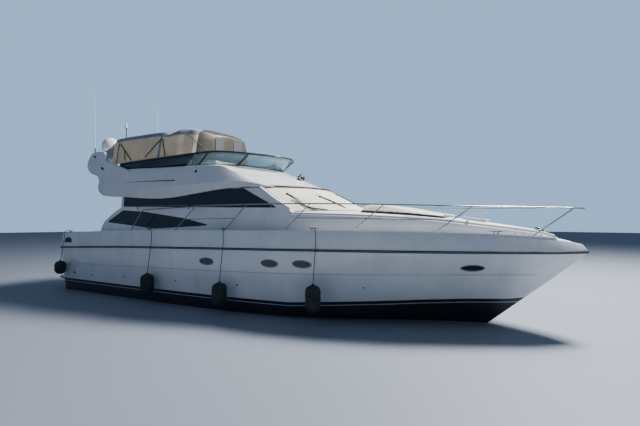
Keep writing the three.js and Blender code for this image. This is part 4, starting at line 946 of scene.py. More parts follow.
def screen_point(y, t, lift):
    """A point over the windscreen: t runs from its foot to its head and lift is square to it."""
    low_x, high_x = smooth(SCREEN_Y, SCREEN_LOW_X, abs(y)), smooth(SCREEN_Y, SCREEN_HIGH_X, abs(y))
    low_z = trunk_top(low_x, y) - SCREEN_SINK
    run = Vector((low_x - high_x, low_z - SCREEN_TOP_Z)).normalized()
    return Vector((low_x + (high_x - low_x) * t - run.y * lift, y,
                   low_z + (SCREEN_TOP_Z - low_z) * t + run.x * lift))


pillars = []
for side in (-1, 1):
    rings = []
    for k in range(25):
        low, high = screen_point(1.75, k / 24, -0.03), screen_point(1.75, k / 24, 0.012)
        ring = [(low, 1.72), (high, 1.72), (high, 1.8), (high, wall_y(high.z) - 0.004),
                (low, wall_y(low.z) - 0.004)]
        rings.append([(point.x, side * y, point.z) for point, y in ring])
    pillars.append(loft("pillar", rings, degrees=30))
dressed(joined("windscreen_surround", pillars), gelcoat)

# Windscreen cover
# A cream canvas cover lies over the raked windscreen, in three panels with flat seams and a border. The
# three wiper arms lie on it, parked aslant, and a black strip along its head is painted shade under the brow.
COVER_LIFT = 0.013
COVER_HALF = 1.8
COVER_FOOT, COVER_SPAN = 0.03, 0.955
HEAD_SHADE_HALF = 1.72
WIPERS = (
    ((-1.46, 0.70), (-1.44, 0.46), (-1.46, 0.16), (-1.16, 0.04)),
    ((-0.74, 0.60), (-0.66, 0.38), (-0.60, 0.14)),
    ((0.68, 0.82), (0.60, 0.48), (0.60, 0.20)),
)


def cover_place(i, j):
    y = COVER_HALF * (i / 64 * 2 - 1)
    t = COVER_FOOT + COVER_SPAN * j / 24
    slack = 0.0035 * math.sin(9 * t + 2.3 * math.sin(3 * y)) * math.sin(math.pi * j / 24)
    sag = 0.004 * abs(math.sin(math.pi * (y / 1.16 + 0.5)))
    return screen_point(y, t, COVER_LIFT + 0.009 + slack * 0.6 - sag * 0.5)


cream_canvas = finish_material(
    "cream_canvas", (0.86, 0.79, 0.64), (0.76, 0.69, 0.55), 0.85, bump=0.6, scales=(3.0, 420.0, 8.0))
cover = grid_skin("windscreen_canvas", 65, 25, cover_place)
finish_with(cover, "SOLIDIFY", thickness=0.003, offset=-1.0)
bpy.ops.object.shade_smooth()
dressed(cover, cream_canvas, replaces=("windscreen_cover",))

borders = []
for y in (-0.58, 0.58):
    borders.append(tube("cover_seam", [screen_point(y, 0.04 + 0.93 * k / 20, COVER_LIFT + 0.011)
                                       for k in range(21)], 0.006, sides=6))
border_half, border_head = COVER_HALF - 0.005, COVER_FOOT + COVER_SPAN
edge = [(-border_half, COVER_FOOT + COVER_SPAN * k / 14) for k in range(15)]
edge += [(border_half * (k / 20 - 1), border_head) for k in range(1, 40)]
edge += [(border_half, border_head - COVER_SPAN * k / 14) for k in range(15)]
edge += [(border_half * (1 - k / 20), COVER_FOOT) for k in range(1, 41)]
borders.append(
    tube("cover_border", [screen_point(y, t, COVER_LIFT + 0.012) for y, t in edge], 0.008, sides=6))
seams = dressed(joined("cover_seams", borders), cream_canvas)
arms = []
for wiper in WIPERS:
    run = [screen_point(y, t, 0.045 if 0 < k < len(wiper) - 1 else 0.033) for k, (y, t) in enumerate(wiper)]
    arms.append(tube("wiper_arm", run, 0.014, sides=8, steps=18))
    blade_y, blade_t = wiper[-2]
    run = [screen_point(blade_y - 0.10 + 0.02 * k, blade_t + 0.30 - 0.06 * k, 0.034) for k in range(9)]
    arms.append(tube("wiper_blade", run, 0.009, sides=6))
    arms.append(placed(disc(0.03, 0.05, sides=20, bevel=0.006), seated(screen_point(*wiper[0], 0.028))))
dressed(joined("wipers", arms), black_frame)
# A black tube along the cover's head is painted shade: the shadow line under the brow.
run = [screen_point(HEAD_SHADE_HALF * (k / 30 - 1), 0.99, 0.048) for k in range(61)]
head_shade_strip = tube("windscreen_head_shade_strip", run, 0.022, sides=8)
dressed(head_shade_strip, dark_rubber)

# Flybridge screen
# A low wraparound windscreen of curved panes stands in a black frame on the flybridge coaming. The side
# panes are backed with dark film and the fore ones are clear. A covered instrument stands behind them.
FLY_SCREEN = (
    (-4.96, -1.8, 4.02, -5.0, -1.805, 4.215), (-4.63, -1.8, 4.015, -4.5, -1.815, 4.24),
    (-3.9, -1.79, 4.005, -3.75, -1.83, 4.254),
    (-2.9, -1.77, 3.992, -2.5, -1.83, 4.29), (-1.7, -1.62, 3.982, -1.2, -1.68, 4.343),
    (-1.1, -1.42, 3.978, -0.68, -1.44, 4.332),
    (-0.64, -1.1, 3.985, -0.21, -1.12, 4.292), (-0.39, -0.8, 3.958, -0.06, -0.9, 4.284),
    (-0.24, -0.55, 3.944, 0.12, -0.62, 4.272),
    (-0.155, -0.29, 3.932, 0.245, -0.34, 4.262), (-0.12, 0.0, 3.928, 0.285, 0.0, 4.258),
)
FLY_SCREEN += tuple((a, -b, c, d, -e, f) for a, b, c, d, e, f in reversed(FLY_SCREEN[:-1]))
FLY_MULLIONS = (0, 4, 6, 14, 16, 20)
DARK_FILM_END = 3.62
POD_LOW, POD_HIGH = (-0.28, 0.07, 3.90), (-0.16, 0.33, 4.19)


def fly_screen_at(row):
    """The foot and the head of the screen at a row, whole or not."""
    values = [smooth(range(21), [entry[k] for entry in FLY_SCREEN], row) for k in range(6)]
    return Vector(values[:3]), Vector(values[3:])


def fly_pane(name, first, last, material):
    def place(i, j):
        foot, head = fly_screen_at(first + (last - first) * i / 40)
        return foot.lerp(head, 0.04 + 0.92 * j / 4)

    pane = grid_skin(name, 41, 5, place)
    finish_with(pane, "SOLIDIFY", thickness=0.008, offset=0.0)
    bpy.ops.object.shade_smooth()
    return dressed(pane, material)


clear_glass = glass_material("clear_greenish_glass", (0.16, 0.34, 0.40), roughness=0.03, alpha=0.5)
filmed_glass = glass_material("filmed_glass", (0.028, 0.05, 0.075), roughness=0.06)
grey_vinyl = finish_material(
    "grey_vinyl", (0.11, 0.12, 0.13), (0.08, 0.09, 0.10), 0.6, bump=0.4, scales=(3.0, 300.0, 8.0))
fly_pane("fly_pane_starboard", 0.02, DARK_FILM_END, filmed_glass)
fly_pane("fly_pane_port", 20 - DARK_FILM_END, 19.98, filmed_glass)
fore_pane = fly_pane("fly_pane_fore", DARK_FILM_END, 20 - DARK_FILM_END, clear_glass)
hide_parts("flybridge_screen_glass")
bars = []
for end in (0, 1):
    bars.append(tube("screen_rail", [fly_screen_at(20 * k / 120)[end] for k in range(121)],
                     (0.027, 0.031)[end], sides=10))
for row in FLY_MULLIONS:
    foot, head = fly_screen_at(row)
    bars.append(tube("screen_post", [foot, foot.lerp(head, 0.5), head], 0.026, sides=10))
dressed(joined("fly_screen_frame", bars), black_frame, replaces=("flybridge_screen_frame",))
pod = box_primitive(POD_LOW, POD_HIGH)
bevelled(pod, 0.04, 4)
pod.name = "instrument_pod"
dressed(smoothed(pod), grey_vinyl)
pod_line = ((-0.125, 3.93), (-0.125, 4.12), (-0.08, 4.175), (0.0, 4.18), (0.08, 4.175), (0.125, 4.12),
            (0.125, 3.93))
pod_rim = tube("instrument_pod_rim", [(-0.156, 0.2 + y, z) for y, z in pod_line], 0.022, sides=8)
dressed(pod_rim, black_frame)

# Arch
# Two white fins stand on the flybridge's quarters and carry a beam across, with a steel light mast on it.
# The mast has a crossbar and a lamp at its head.
FIN = ((-4.39, 3.975), (-4.64, 4.06), (-5.04, 4.19), (-5.575, 4.35), (-5.58, 4.65), (-5.85, 4.69),
       (-6.09, 4.69), (-6.31, 4.65), (-6.415, 4.53), (-6.56, 4.335), (-6.53, 4.115), (-6.345, 3.97),
       (-5.985, 3.87), (-5.9, 3.75), (-5.9, 3.6), (-4.39, 3.6))
arch_parts = []
for side in (-1, 1):
    fin = plate("fin", rounded(FIN, 0.09, steps=4), lambda z: 1.99, 0.14, side)
    bevelled(fin, 0.03, 4, 60)
    arch_parts.append(fin)
beam = box_primitive((-6.44, -1.87, 4.58), (-5.85, 1.87, 4.68))
bevelled(beam, 0.035, 4)
arch_parts.append(beam)
dressed(smoothed(joined("arch_moulding", arch_parts), 35), gelcoat, replaces=("radar_arch",))
MAST = (-6.38, -0.62)
CROSSBAR_Z = 5.62
mast_parts = [tube("mast", [(*MAST, 4.66), (*MAST, 5.2), (*MAST, 5.78)], 0.016),
              tube("crossbar", [(MAST[0], MAST[1] + shift, CROSSBAR_Z) for shift in (-0.28, 0.0, 0.28)],
                   0.008, sides=8), placed(disc(0.035, 0.03, bevel=0.006), seated((*MAST, 5.79)))]
dressed(smoothed(joined("mast_pole", mast_parts)), steel)
# White enamel; on the searchlight's reflector the same white is painted reflection.
white_enamel_and_reflection = finish_material(
    "white_enamel_and_painted_reflection", (0.84, 0.85, 0.85), (0.74, 0.75, 0.76), 0.3, coat=0.2, bump=0.02)


def turned(name, profile, sides=48, centre=(0, 0)):
    """A round solid about an upright axis; the profile is radius and height from foot to top."""
    return loft(name, [[(centre[0] + r * math.cos(a), centre[1] + r * math.sin(a), z) for a in circle(sides)]
                       for r, z in profile])


lamp = turned("mast_light", ((0.03, 5.8), (0.034, 5.81), (0.036, 5.86), (0.034, 5.9), (0.026, 5.935),
                             (0.012, 5.952)), 24, MAST)
dressed(lamp, white_enamel_and_reflection)

# Satellite dome
# A white dome in two halves stands on a grey pedestal on the beam, off to starboard. A fine groove parts
# the halves.
DOME_AT, DOME_FOOT = (-6.24, -1.33), 4.6803
dome_profile = [(0.15, 0.11), (0.24, 0.125), (0.272, 0.15), (0.283, 0.2), (0.285, 0.26), (0.281, 0.262),
                (0.281, 0.268), (0.285, 0.27)]
dome_profile += [(0.285 * math.cos(a), 0.32 + 0.288 * math.sin(a))
                 for a in (k * math.pi / 24 for k in range(12))]
dome_profile.append((0.02, 0.607))
dome = turned("dome_shell", [(r, z + DOME_FOOT) for r, z in dome_profile], centre=DOME_AT)
dressed(dome, white_enamel_and_reflection, replaces=("satellite_dome",))
pedestal_profile = ((0.17, 0.0), (0.17, 0.02), (0.13, 0.035), (0.12, 0.09), (0.16, 0.112))
pedestal = turned("dome_pedestal", [(r, z + DOME_FOOT) for r, z in pedestal_profile], centre=DOME_AT)
grey_moulding = finish_material("grey_moulding", (0.22, 0.24, 0.26), (0.15, 0.16, 0.18), 0.45, bump=0.1)
dressed(pedestal, grey_moulding)

# Aerials
# Two whip aerials taper up from steel ferrules, one raked a little aft on the starboard fin and one upright
# on the beam.
whips, ferrules = [], []
for foot, head in (((-6.2, -1.92, 4.64), (-6.26, -1.92, 6.75)), ((-6.25, 0.65, 4.66), (-6.25, 0.65, 6.98))):
    foot, head = Vector(foot), Vector(head)
    whips.append(tube("whip", [foot.lerp(head, 0.06 + 0.94 * k / 12) for k in range(13)],
                      lambda t: 0.011 - 0.007 * t, sides=8))
    ferrules.append(tube("ferrule", [foot, foot.lerp(head, 0.03), foot.lerp(head, 0.09)], 0.02, sides=16))
dressed(joined("aerial_whips", whips), white_enamel_and_reflection,
        replaces=("aerial_starboard", "aerial_port"))
dressed(joined("aerial_ferrules", ferrules), steel)

# Canopy
# One sheet of canvas is drawn over hoops from the arch to the helm and comes down to the screen. Its tan
# sides glow faintly, painted light for sun through the canvas; its roof is painted grey-blue as the canvas's
# shade and reflected sky; its front is clouded vinyl, dark partly as see-through and partly as painted shade
# on the lit fore slope, with two grey panels and a zip. Tapes cover its seams, sleeves hold it to its hoops,
# and a clear curtain closes the gap to the arch.
CANOPY = {
    "x": (-5.48, -5.0, -4.2, -3.3, -3.0, -2.7, -2.5, -2.29, -2.12, -1.98),
    "half": (1.8, 1.8, 1.8, 1.775, 1.72, 1.59, 1.44, 1.34, 1.14, 0.8),
    "rise": (-0.02, 0.005, 0.005, 0.0, -0.06, 0.04, 0.055, 0.02, -0.06, -0.14),
    "hem": (4.215, 4.248, 4.285, 4.315, 4.33, 4.345, 4.35, 4.355, 4.36, 4.36),
}
CANOPY_ROOF_Z = 5.255


def canopy_section(x):
    """The port half of the canopy's section, as y and z, from its hem to its centreline."""
    half, rise, hem = (smooth(CANOPY["x"], CANOPY[key], x) for key in ("half", "rise", "hem"))

    def roof(y):
        return CANOPY_ROOF_Z + rise - 0.065 * (y / 1.52) ** 2

    inner = half - 0.28
    return [(half, hem), (half - 0.1, 4.85), (half - 0.18, roof(inner) - 0.115), (inner, roof(inner) - 0.035),
            (0.6 * inner, roof(0.6 * inner)), (0.0, roof(0.0))]


def canopy_point(x, share, out=0.0):
    """A point of the canopy: share runs from 0 at the hem to 5 on the centreline, port side."""
    points = canopy_section(x)
    knots = range(6)
    soft = Vector(
        (smooth(knots, [p[0] for p in points], share), smooth(knots, [p[1] for p in points], share)))
    i = min(int(share), 4)
    flat = Vector(points[i]).lerp(Vector(points[i + 1]), share - i)
    y, z = soft.lerp(flat, 0.35)
    normal = Vector((1.0, 0.12)) if share < 2 else (Vector((0.6, 0.8)) if share < 3 else Vector((0.05, 1.0)))
    return Vector((x, y + normal.x * out, z + normal.y * out))


CANOPY_ROWS = 110
CANOPY_AFT, CANOPY_FORE = CANOPY["x"][0], CANOPY["x"][-1]


def canopy_place(i, j):
    share = j / 5
    side = 1
    if share > 5:
        share, side = 10 - share, -1
    if i == CANOPY_ROWS - 1:
        return Vector((-1.958, 0.0, canopy_point(CANOPY_FORE, share).z))
    x = CANOPY_AFT + (CANOPY_FORE - CANOPY_AFT) * (1 - (1 - i / (CANOPY_ROWS - 2)) ** 1.3)
    pucker = 0.004 * math.sin(7 * x + 3 * share) * math.sin(math.pi * min(share / 2, 1.0))
    pucker += 0.0025 * math.sin(23 * x - 5 * share)
    point = canopy_point(x, share, pucker)
    return Vector((point.x, side * point.y, point.z))


# Above this share up the side, the canopy is painted grey-blue as the canvas's shade and reflected sky.
EAVE_SHARE = 1.68
roof_canvas_painted_shade = finish_material(
    "roof_canvas_painted_shade_and_sky", (0.30, 0.36, 0.43), (0.22, 0.27, 0.33), 0.8, bump=0.6, scales=(2.5, 380.0, 7.0))
tan_canvas_painted_glow = finish_material(
    "tan_canvas_painted_glow", (0.86, 0.68, 0.46), (0.66, 0.52, 0.35), 0.75, bump=0.6, scales=(2.5, 380.0, 7.0))
# The tan canvas glows faintly in its own colour: painted light standing for sun shining through it.
tan_glow_shader = tan_canvas_painted_glow.node_tree.nodes["Principled BSDF"]
tan_glow_shader.inputs["Emission Strength"].default_value = 0.06
join_nodes(
    tan_canvas_painted_glow, [(tan_canvas_painted_glow.node_tree.nodes["worn_colour"].outputs[2], tan_glow_shader.inputs["Emission Color"])])
canopy = grid_skin("canopy_canvas", CANOPY_ROWS, 51, canopy_place)
merge_doubles(0.0004)
finish_with(canopy, "SOLIDIFY", thickness=0.004, offset=-1.0)
smoothed(canopy, 50)
dressed(canopy, tan_canvas_painted_glow, replaces=("canopy",))
# Clouded vinyl for the front: dark partly because it is see-through, and partly as painted shade where the
# key light falls.
front_vinyl_and_shade = glass_material("clouded_vinyl_and_painted_shade", (0.092, 0.078, 0.058), roughness=0.45, alpha=0.85)
for material in (roof_canvas_painted_shade, front_vinyl_and_shade):
    canopy.data.materials.append(material)
# Faces above the eave line get the roof's painted shade and sky colour.
for face in canopy.data.polygons:
    x, y, z = face.center
    if z > canopy_point(min(max(x, CANOPY_AFT), CANOPY_FORE), EAVE_SHARE).z:
        face.material_index = 1
    # The lit fore slope of the roof also gets the dark vinyl, as painted shade.
    if x > -2.2 or (x > -2.4 and abs(y) < 0.9):
        face.material_index = 2


def canopy_strip(name, stations, width, lift=0.004):
    """A flat tape that follows the canopy through stations of x, share and side."""
    def place(i, j):
        x, share, side = stations[i]
        before, after = stations[max(i - 1, 0)], stations[min(i + 1, len(stations) - 1)]
        here = canopy_point(x, share, lift)
        along = canopy_point(after[0], after[1], lift) - canopy_point(before[0], before[1], lift)
        normal = canopy_point(x, share, lift + 0.01) - here
        across = along.cross(normal).normalized() * width
        point = here + across * (j - 0.5)
        return Vector((point.x, side * point.y, point.z))

    tape = grid_skin(name, len(stations), 2, place)
    finish_with(tape, "SOLIDIFY", thickness=0.003, offset=0.0)
    return tape


def share_at(x, z):
    """The share up the canopy's side at which it reaches a height."""
    low, high = 0.0, 4.0
    for _ in range(18):
        middle = (low + high) / 2
        if canopy_point(x, middle).z < z:
            low = middle
        else:
            high = middle
    return low


def finished_node(name, material):
    """A carried-over solid keeps its shape and gets a finish."""
    nodes[name].data.materials.clear()
    nodes[name].data.materials.append(material)


SLEEVES = (((-3.23, 4.9), (-3.82, 4.36)), ((-3.17, 4.9), (-2.99, 4.36)), ((-5.16, 4.906), (-4.465, 4.31)),
           ((-4.894, 4.682), (-4.793, 4.32)), ((-5.235, 4.953), (-5.226, 4.26)))
ZIP_LOW, ZIP_HIGH = (-1.962, 0.222, 4.40), (-1.955, 0.252, 5.05)
PANEL_X, PANEL_Z = (-1.974, -1.962), (4.40, 4.985)
PANEL_Y, PANEL_HALF = 0.44, 0.18
seams, sleeves, panels = [], [], [box_primitive(ZIP_LOW, ZIP_HIGH)]
for side in (-1, 1):
    for x, width in ((-3.24, 0.09), (-2.29, 0.03)):
        seams.append(canopy_strip("seam", [(x, 0.02 + 4.9 * k / 24, side) for k in range(25)], width))
    seams.append(
        canopy_strip("eave_tape", [(-5.46 + 3.2 * k / 40, EAVE_SHARE, side) for k in range(41)], 0.03))
    panels.append(box_primitive((PANEL_X[0], side * PANEL_Y - PANEL_HALF, PANEL_Z[0]),
                                (PANEL_X[1], side * PANEL_Y + PANEL_HALF, PANEL_Z[1])))
    arc = [(-3.1 + 1.05 * k / 24, 2.2 - 1.75 * (k / 24) ** 1.7, side) for k in range(25)]
    seams.append(canopy_strip("panel_seam", arc, 0.02))
    for (x0, z0), (x1, z1) in SLEEVES:
        run = [(x0 + (x1 - x0) * k / 12, z0 + (z1 - z0) * k / 12) for k in range(13)]
        sleeves.append(canopy_strip("sleeve", [(x, share_at(x, z), side) for x, z in run], 0.04, 0.009))
canopy_seams = dressed(joined("canopy_seams", seams), roof_canvas_painted_shade)
panel_canvas = finish_material(
    "grey_panel_canvas", (0.085, 0.089, 0.104), (0.07, 0.074, 0.088), 0.7, bump=0.6, scales=(2.5, 380.0, 7.0))
front_panels = dressed(joined("canopy_front_panels", panels), panel_canvas)
clear_vinyl = glass_material("clear_vinyl", (0.34, 0.42, 0.50), roughness=0.12, alpha=0.5)
ARCH_SEAM = ((-5.52, 1.90, 4.37), (-5.66, 1.90, 4.695), (-5.87, 1.72, 4.692), (-5.87, 1.45, 4.692),
             (-5.87, 0.8, 4.692), (-5.87, 0.0, 4.692))


def curtain_place(i, j):
    share, side = (i / 6, 1) if i <= 30 else (10 - i / 6, -1)
    top = canopy_point(-5.478, share, 0.004)
    foot = Vector([smooth(range(6), [point[axis] for point in ARCH_SEAM], share) for axis in range(3)])
    t = j / 10
    point = top.lerp(foot, t) - Vector((0.02, 0, 0.03)) * math.sin(math.pi * t)
    return Vector((point.x, side * point.y, point.z))


curtain = grid_skin("aft_curtain", 61, 11, curtain_place)
finish_with(curtain, "SOLIDIFY", thickness=0.002, offset=0.0)
bpy.ops.object.shade_smooth()
dressed(curtain, clear_vinyl)
canopy_sleeves = dressed(joined("canopy_sleeves", sleeves), black_frame)
finished_node("canopy_frame", black_frame)

# Searchlight
# A searchlight stands on a white base on the brow, turned a little to starboard. Its dark bowl holds a
# reflector of white enamel, whose white is painted reflection for a mirror finish, with a capped bulb in
# front of it.
LAMP_X, LAMP_Z, LAMP_PAN, LAMP_TILT = 0.82, 3.5, -24, 16
lamp_base = turned("searchlight_base", ((0.075, LAMP_Z - 0.03), (0.075, LAMP_Z + 0.01), (0.05, LAMP_Z + 0.03),
                                        (0.045, LAMP_Z + 0.06), (0.03, LAMP_Z + 0.075)), 32, (LAMP_X, 0))
lamp_aim = seated((LAMP_X, 0, LAMP_Z + 0.125), (LAMP_PAN, "Z"), (90 - LAMP_TILT, "Y"))
lamp_bowl = turned("searchlight_bowl", ((0.03, -0.085), (0.07, -0.075), (0.098, -0.03), (0.106, 0.05),
                                        (0.106, 0.066), (0.086, 0.066), (0.084, 0.05), (0.07, 0.0),
                                        (0.03, -0.02)), 48)
lamp_cap = turned("searchlight_cap", ((0.01, -0.019), (0.01, 0.066), (0.05, 0.07), (0.058, 0.08),
                                      (0.056, 0.092), (0.03, 0.102)), 32)
# The reflector is white enamel: its white is painted reflection standing for a mirror finish.
reflector = turned("searchlight_reflector", ((0.078, 0.03), (0.0835, 0.045), (0.0815, 0.045), (0.068, 0.002),
                                             (0.03, -0.016), (0.03, -0.019), (0.0695, -0.0012)), 48)
dressed(
    placed(smoothed(joined("searchlight_cans", [lamp_bowl, lamp_cap])), lamp_aim), black_frame)
dressed(placed(smoothed(reflector), lamp_aim), white_enamel_and_reflection)
dressed(smoothed(lamp_base), white_enamel_and_reflection, replaces=("searchlight",))

# Rail
# A polished tube runs round the foredeck on raked stanchions with round feet. Three of the bays on each
# side have a lower rail too.
RAIL_FEET = (-3.95, -2.0, -0.15, 1.7, 3.43, 5.13, 6.95)
RAIL_HEADS = (-3.31, -1.16, 0.64, 2.45, 4.14, 5.88, 7.74)
RAIL_TOP_X = (-3.45, -1.4, 0.45, 2.29, 4.14, 5.9, 7.5, 7.85)
RAIL_TOP_Z = (2.7, 2.76, 2.79, 2.785, 2.74, 2.69, 2.66, 2.64)
RAIL_ROWS = (-3.27, -2.9, -2.4, -1.4, -0.4, 0.45, 1.4, 2.29, 3.2, 4.14, 5.0, 5.9, 6.6, 7.15)
PULPIT_HALF = 0.27
MID_RAIL_BAYS = (1, 3, 4)


def rail_top(x, side):
    half = deck_edge_at(x).y - 0.06 if x < 7.56 else PULPIT_HALF
    return Vector((x, side * half, smooth(RAIL_TOP_X, RAIL_TOP_Z, x)))


def rail_foot(x, side):
    return Vector((x, side * (deck_edge_at(x).y - 0.085), deck_edge_at(x).z - 0.004))


def rail_half(side):
    foot, bend = rail_foot(RAIL_FEET[0], side), rail_top(-3.33, side)
    rise = [foot.lerp(bend, t) for t in (0.0, 0.3, 0.6, 0.85, 0.96)]
    return (rise + [rail_top(x, side) for x in RAIL_ROWS]
            + [Vector((7.5, side * 0.35, 2.66)), rail_top(7.74, side), Vector((7.89, side * 0.15, 2.642))])


run = rail_half(1) + [(7.93, 0, 2.64)] + list(reversed(rail_half(-1)))
rails = [tube("rail_top", run, 0.016, steps=300)]
for side in (-1, 1):
    bars = [(rail_foot(x, side), rail_top(head, side)) for x, head in zip(RAIL_FEET, RAIL_HEADS)]
    for foot, head in bars[1:]:
        rails.append(tube("stanchion", [foot, foot.lerp(head, 0.5), head], 0.0125, sides=10))
    for k in MID_RAIL_BAYS:
        ends = [foot.lerp(head, 0.5) for foot, head in bars[k:k + 2]]
        rails.append(tube("mid_rail", [ends[0], ends[0].lerp(ends[1], 0.5), ends[1]], 0.0095, sides=8))
    for foot, head in bars:
        rails.append(placed(disc(0.036, 0.012, sides=24, bevel=0.003), seated(foot + Vector((0, 0, 0.009)))))
dressed(smoothed(joined("bow_rails", rails)), steel, replaces=("bow_rail",))

# Sunpad
# Three stuffed cream cushions lie side by side on the trunk before the windscreen, thickest near their aft
# end, on a base board whose dark colour is painted shadow under them. Piping is sewn into their edges.
SUNPAD = {
    "x": (3.25, 3.33, 3.72, 4.26, 4.52, 4.88, 5.12, 5.2),
    "half": (1.10, 1.12, 1.06, 0.98, 0.94, 0.89, 0.84, 0.80),
    "rise": (0.09, 0.155, 0.172, 0.127, 0.092, 0.068, 0.062, 0.035),
}
PAD_SLOPE = 0.15
COVER_SLACK = 0.008
STUFFING_PRESSURE = 4.0


def sunpad_half(x):
    return smooth(SUNPAD["x"], SUNPAD["half"], x)


def base_top(x, y):
    """The top of the board under the cushions, which thins towards their ends."""
    return trunk_top(x, y) + min(0.04, 0.45 * smooth(SUNPAD["x"], SUNPAD["rise"], x))


def sunpad_top(x, y):
    """The height of the cushions' top: a crowned middle and a sloped border."""
    half, ridge = sunpad_half(x), trunk_top(x, 0) + smooth(SUNPAD["x"], SUNPAD["rise"], x)
    edge = base_top(x, half) + 0.03
    shoulder = max(ridge - 0.012, edge + 0.005)
    inner, out = half - PAD_SLOPE, abs(y)
    if out < inner:
        return ridge + (shoulder - ridge) * out / inner
    return shoulder + (edge - shoulder) * (out - inner) / PAD_SLOPE


def puffed(piece, cap, voxel=0.03):
    """Stuffs a closed cover: its skin is made even, swells by no more than the cap, and is smoothed."""
    finish_with(piece, "REMESH", mode="VOXEL", voxel_size=voxel)
    start = [vertex.co.copy() for vertex in piece.data.vertices]
    cloth = piece.modifiers.new("stuffing", "CLOTH")
    cloth.settings.use_pressure = True
    cloth.settings.uniform_pressure_force = STUFFING_PRESSURE
    cloth.settings.effector_weights.gravity = 0.0
    for step in range(1, 21):
        bpy.context.scene.frame_set(step)
    bpy.context.view_layer.objects.active = piece
    bpy.ops.object.modifier_apply(modifier=cloth.name)
    bpy.context.scene.frame_set(1)
    for vertex, before in zip(piece.data.vertices, start):
        move = vertex.co - before
        if move.length > cap:
            vertex.co = before + move * (cap / move.length)
    finish_with(piece, "SUBSURF", levels=1, render_levels=1)
    return smoothed(piece, 80)


def piping(piece, points, radius=0.006):
    """A round cord sewn along a cover, through the points of its skin nearest to the given ones."""
    run = []
    for point in points:
        _, spot, normal, _ = piece.closest_point_on_mesh(Vector(point))
        run.append(spot + normal * radius * 0.3)
    return tube("piping", run, radius, sides=6)


vinyl = finish_material(
    "cream_vinyl", (0.90, 0.84, 0.70), (0.80, 0.74, 0.60), 0.5, bump=0.3, scales=(3.0, 240.0, 6.0))
strips, cords = [], []
for k in range(3):
    low, high = (2 * k / 3 - 1), (2 * (k + 1) / 3 - 1)
    rings = []
    for n in range(41):
        x = SUNPAD["x"][0] + COVER_SLACK + (SUNPAD["x"][-1] - SUNPAD["x"][0] - 2 * COVER_SLACK) * n / 40
        half = sunpad_half(x)
        y0, y1 = low * half + COVER_SLACK, high * half - COVER_SLACK
        ys = [y0 + (y1 - y0) * m / 10 for m in range(11)]
        rings.append([(x, y, base_top(x, y)) for y in ys]
                     + [(x, y, sunpad_top(x, y) - COVER_SLACK) for y in reversed(ys)])
    strip = puffed(loft("sunpad_strip", rings), 0.02)
    strips.append(strip)
    xs = [3.29 + 1.87 * m / 30 for m in range(31)]
    for share in (low, high):
        inset = 0.03 if abs(share) < 0.9 else 0.012
        ys = [share * sunpad_half(x) + (inset if share == low else -inset) for x in xs]
        cords.append(piping(strip, [(x, y, sunpad_top(x, y) + 0.01) for x, y in zip(xs, ys)]))
    for x in (3.285, 5.17):
        ys = [low * sunpad_half(x) + 0.03 + ((high - low) * sunpad_half(x) - 0.06) * m / 12
              for m in range(13)]
        cords.append(piping(strip, [(x, y, sunpad_top(x, y) + 0.01) for y in ys]))
sunpad = dressed(joined("sunpad_cushion", strips), vinyl, replaces=("foredeck_sunpad",))
dressed(joined("sunpad_piping", cords), vinyl)
# The board's dark colour is painted shadow under the cushions.
shadow_board_rings = []
for n in range(31):
    x = 3.256 + (5.194 - 3.256) * n / 30
    half = sunpad_half(x) - 0.02
    ys = [half * (2 * m / 10 - 1) for m in range(11)]
    shadow_board_rings.append(
        [(x, y, trunk_top(x, y) - 0.01) for y in ys] + [(x, y, base_top(x, y) + 0.005) for y in reversed(ys)])
dressed(loft("sunpad_shadow_board", shadow_board_rings, degrees=50), dark_rubber)

# Stern platform
# A moulded platform spans the transom at foot height. Its top is laid with teak inside a white margin and a
# rubber fender runs round its edge.
PLATFORM_HALF = ((-7.6005, 2.0), (-8.03, 2.0), (-8.24, 1.91), (-8.33, 1.7))
PLATFORM_Z = (0.33, 0.43)


def platform_outline(margin):
    half = [(x + (margin if k > 1 else 0) - (margin if k == 0 else 0), y - margin)
            for k, (x, y) in enumerate(PLATFORM_HALF)]
    return rounded(half + [(x, -y) for x, y in reversed(half)], 0.12)


platform = loft("swim_platform_moulding", [[(x, y, z) for x, y in platform_outline(0.0)] for z in PLATFORM_Z])
bevelled(platform, 0.022, 4, 60)
dressed(smoothed(platform, 35), gelcoat, replaces=("swim_platform",))


def build_planking():
    """Caulked planks laid along the boat: a mask for the seams and a tone for each plank."""
    group, given, made = node_group("planking", [("Pitch", 0.06), ("Seam", 0.1)], ["Seam", "Tone"])
    place, split = group.nodes.new("ShaderNodeTexCoord"), group.nodes.new("ShaderNodeSeparateXYZ")
    steps = {}
    for word, operation in (("count", "DIVIDE"), ("part", "FRACT"), ("plank", "FLOOR"),
                            ("seam", "LESS_THAN")):
        steps[word] = group.nodes.new("ShaderNodeMath")
        steps[word].operation = operation
    tone = group.nodes.new("ShaderNodeTexWhiteNoise")
    tone.noise_dimensions = "1D"
    for output, socket in (
        (place.outputs["Object"], split.inputs[0]), (split.outputs["Y"], steps["count"].inputs[0]),
        (given.outputs["Pitch"], steps["count"].inputs[1]),
        (steps["count"].outputs[0], steps["part"].inputs[0]),
        (steps["count"].outputs[0], steps["plank"].inputs[0]),
        (steps["part"].outputs[0], steps["seam"].inputs[0]),
        (given.outputs["Seam"], steps["seam"].inputs[1]), (steps["plank"].outputs[0], tone.inputs["W"]),
        (steps["seam"].outputs[0], made.inputs["Seam"]), (tone.outputs["Value"], made.inputs["Tone"]),
    ):
        group.links.new(output, socket)
    return group


PLANKING = build_planking()


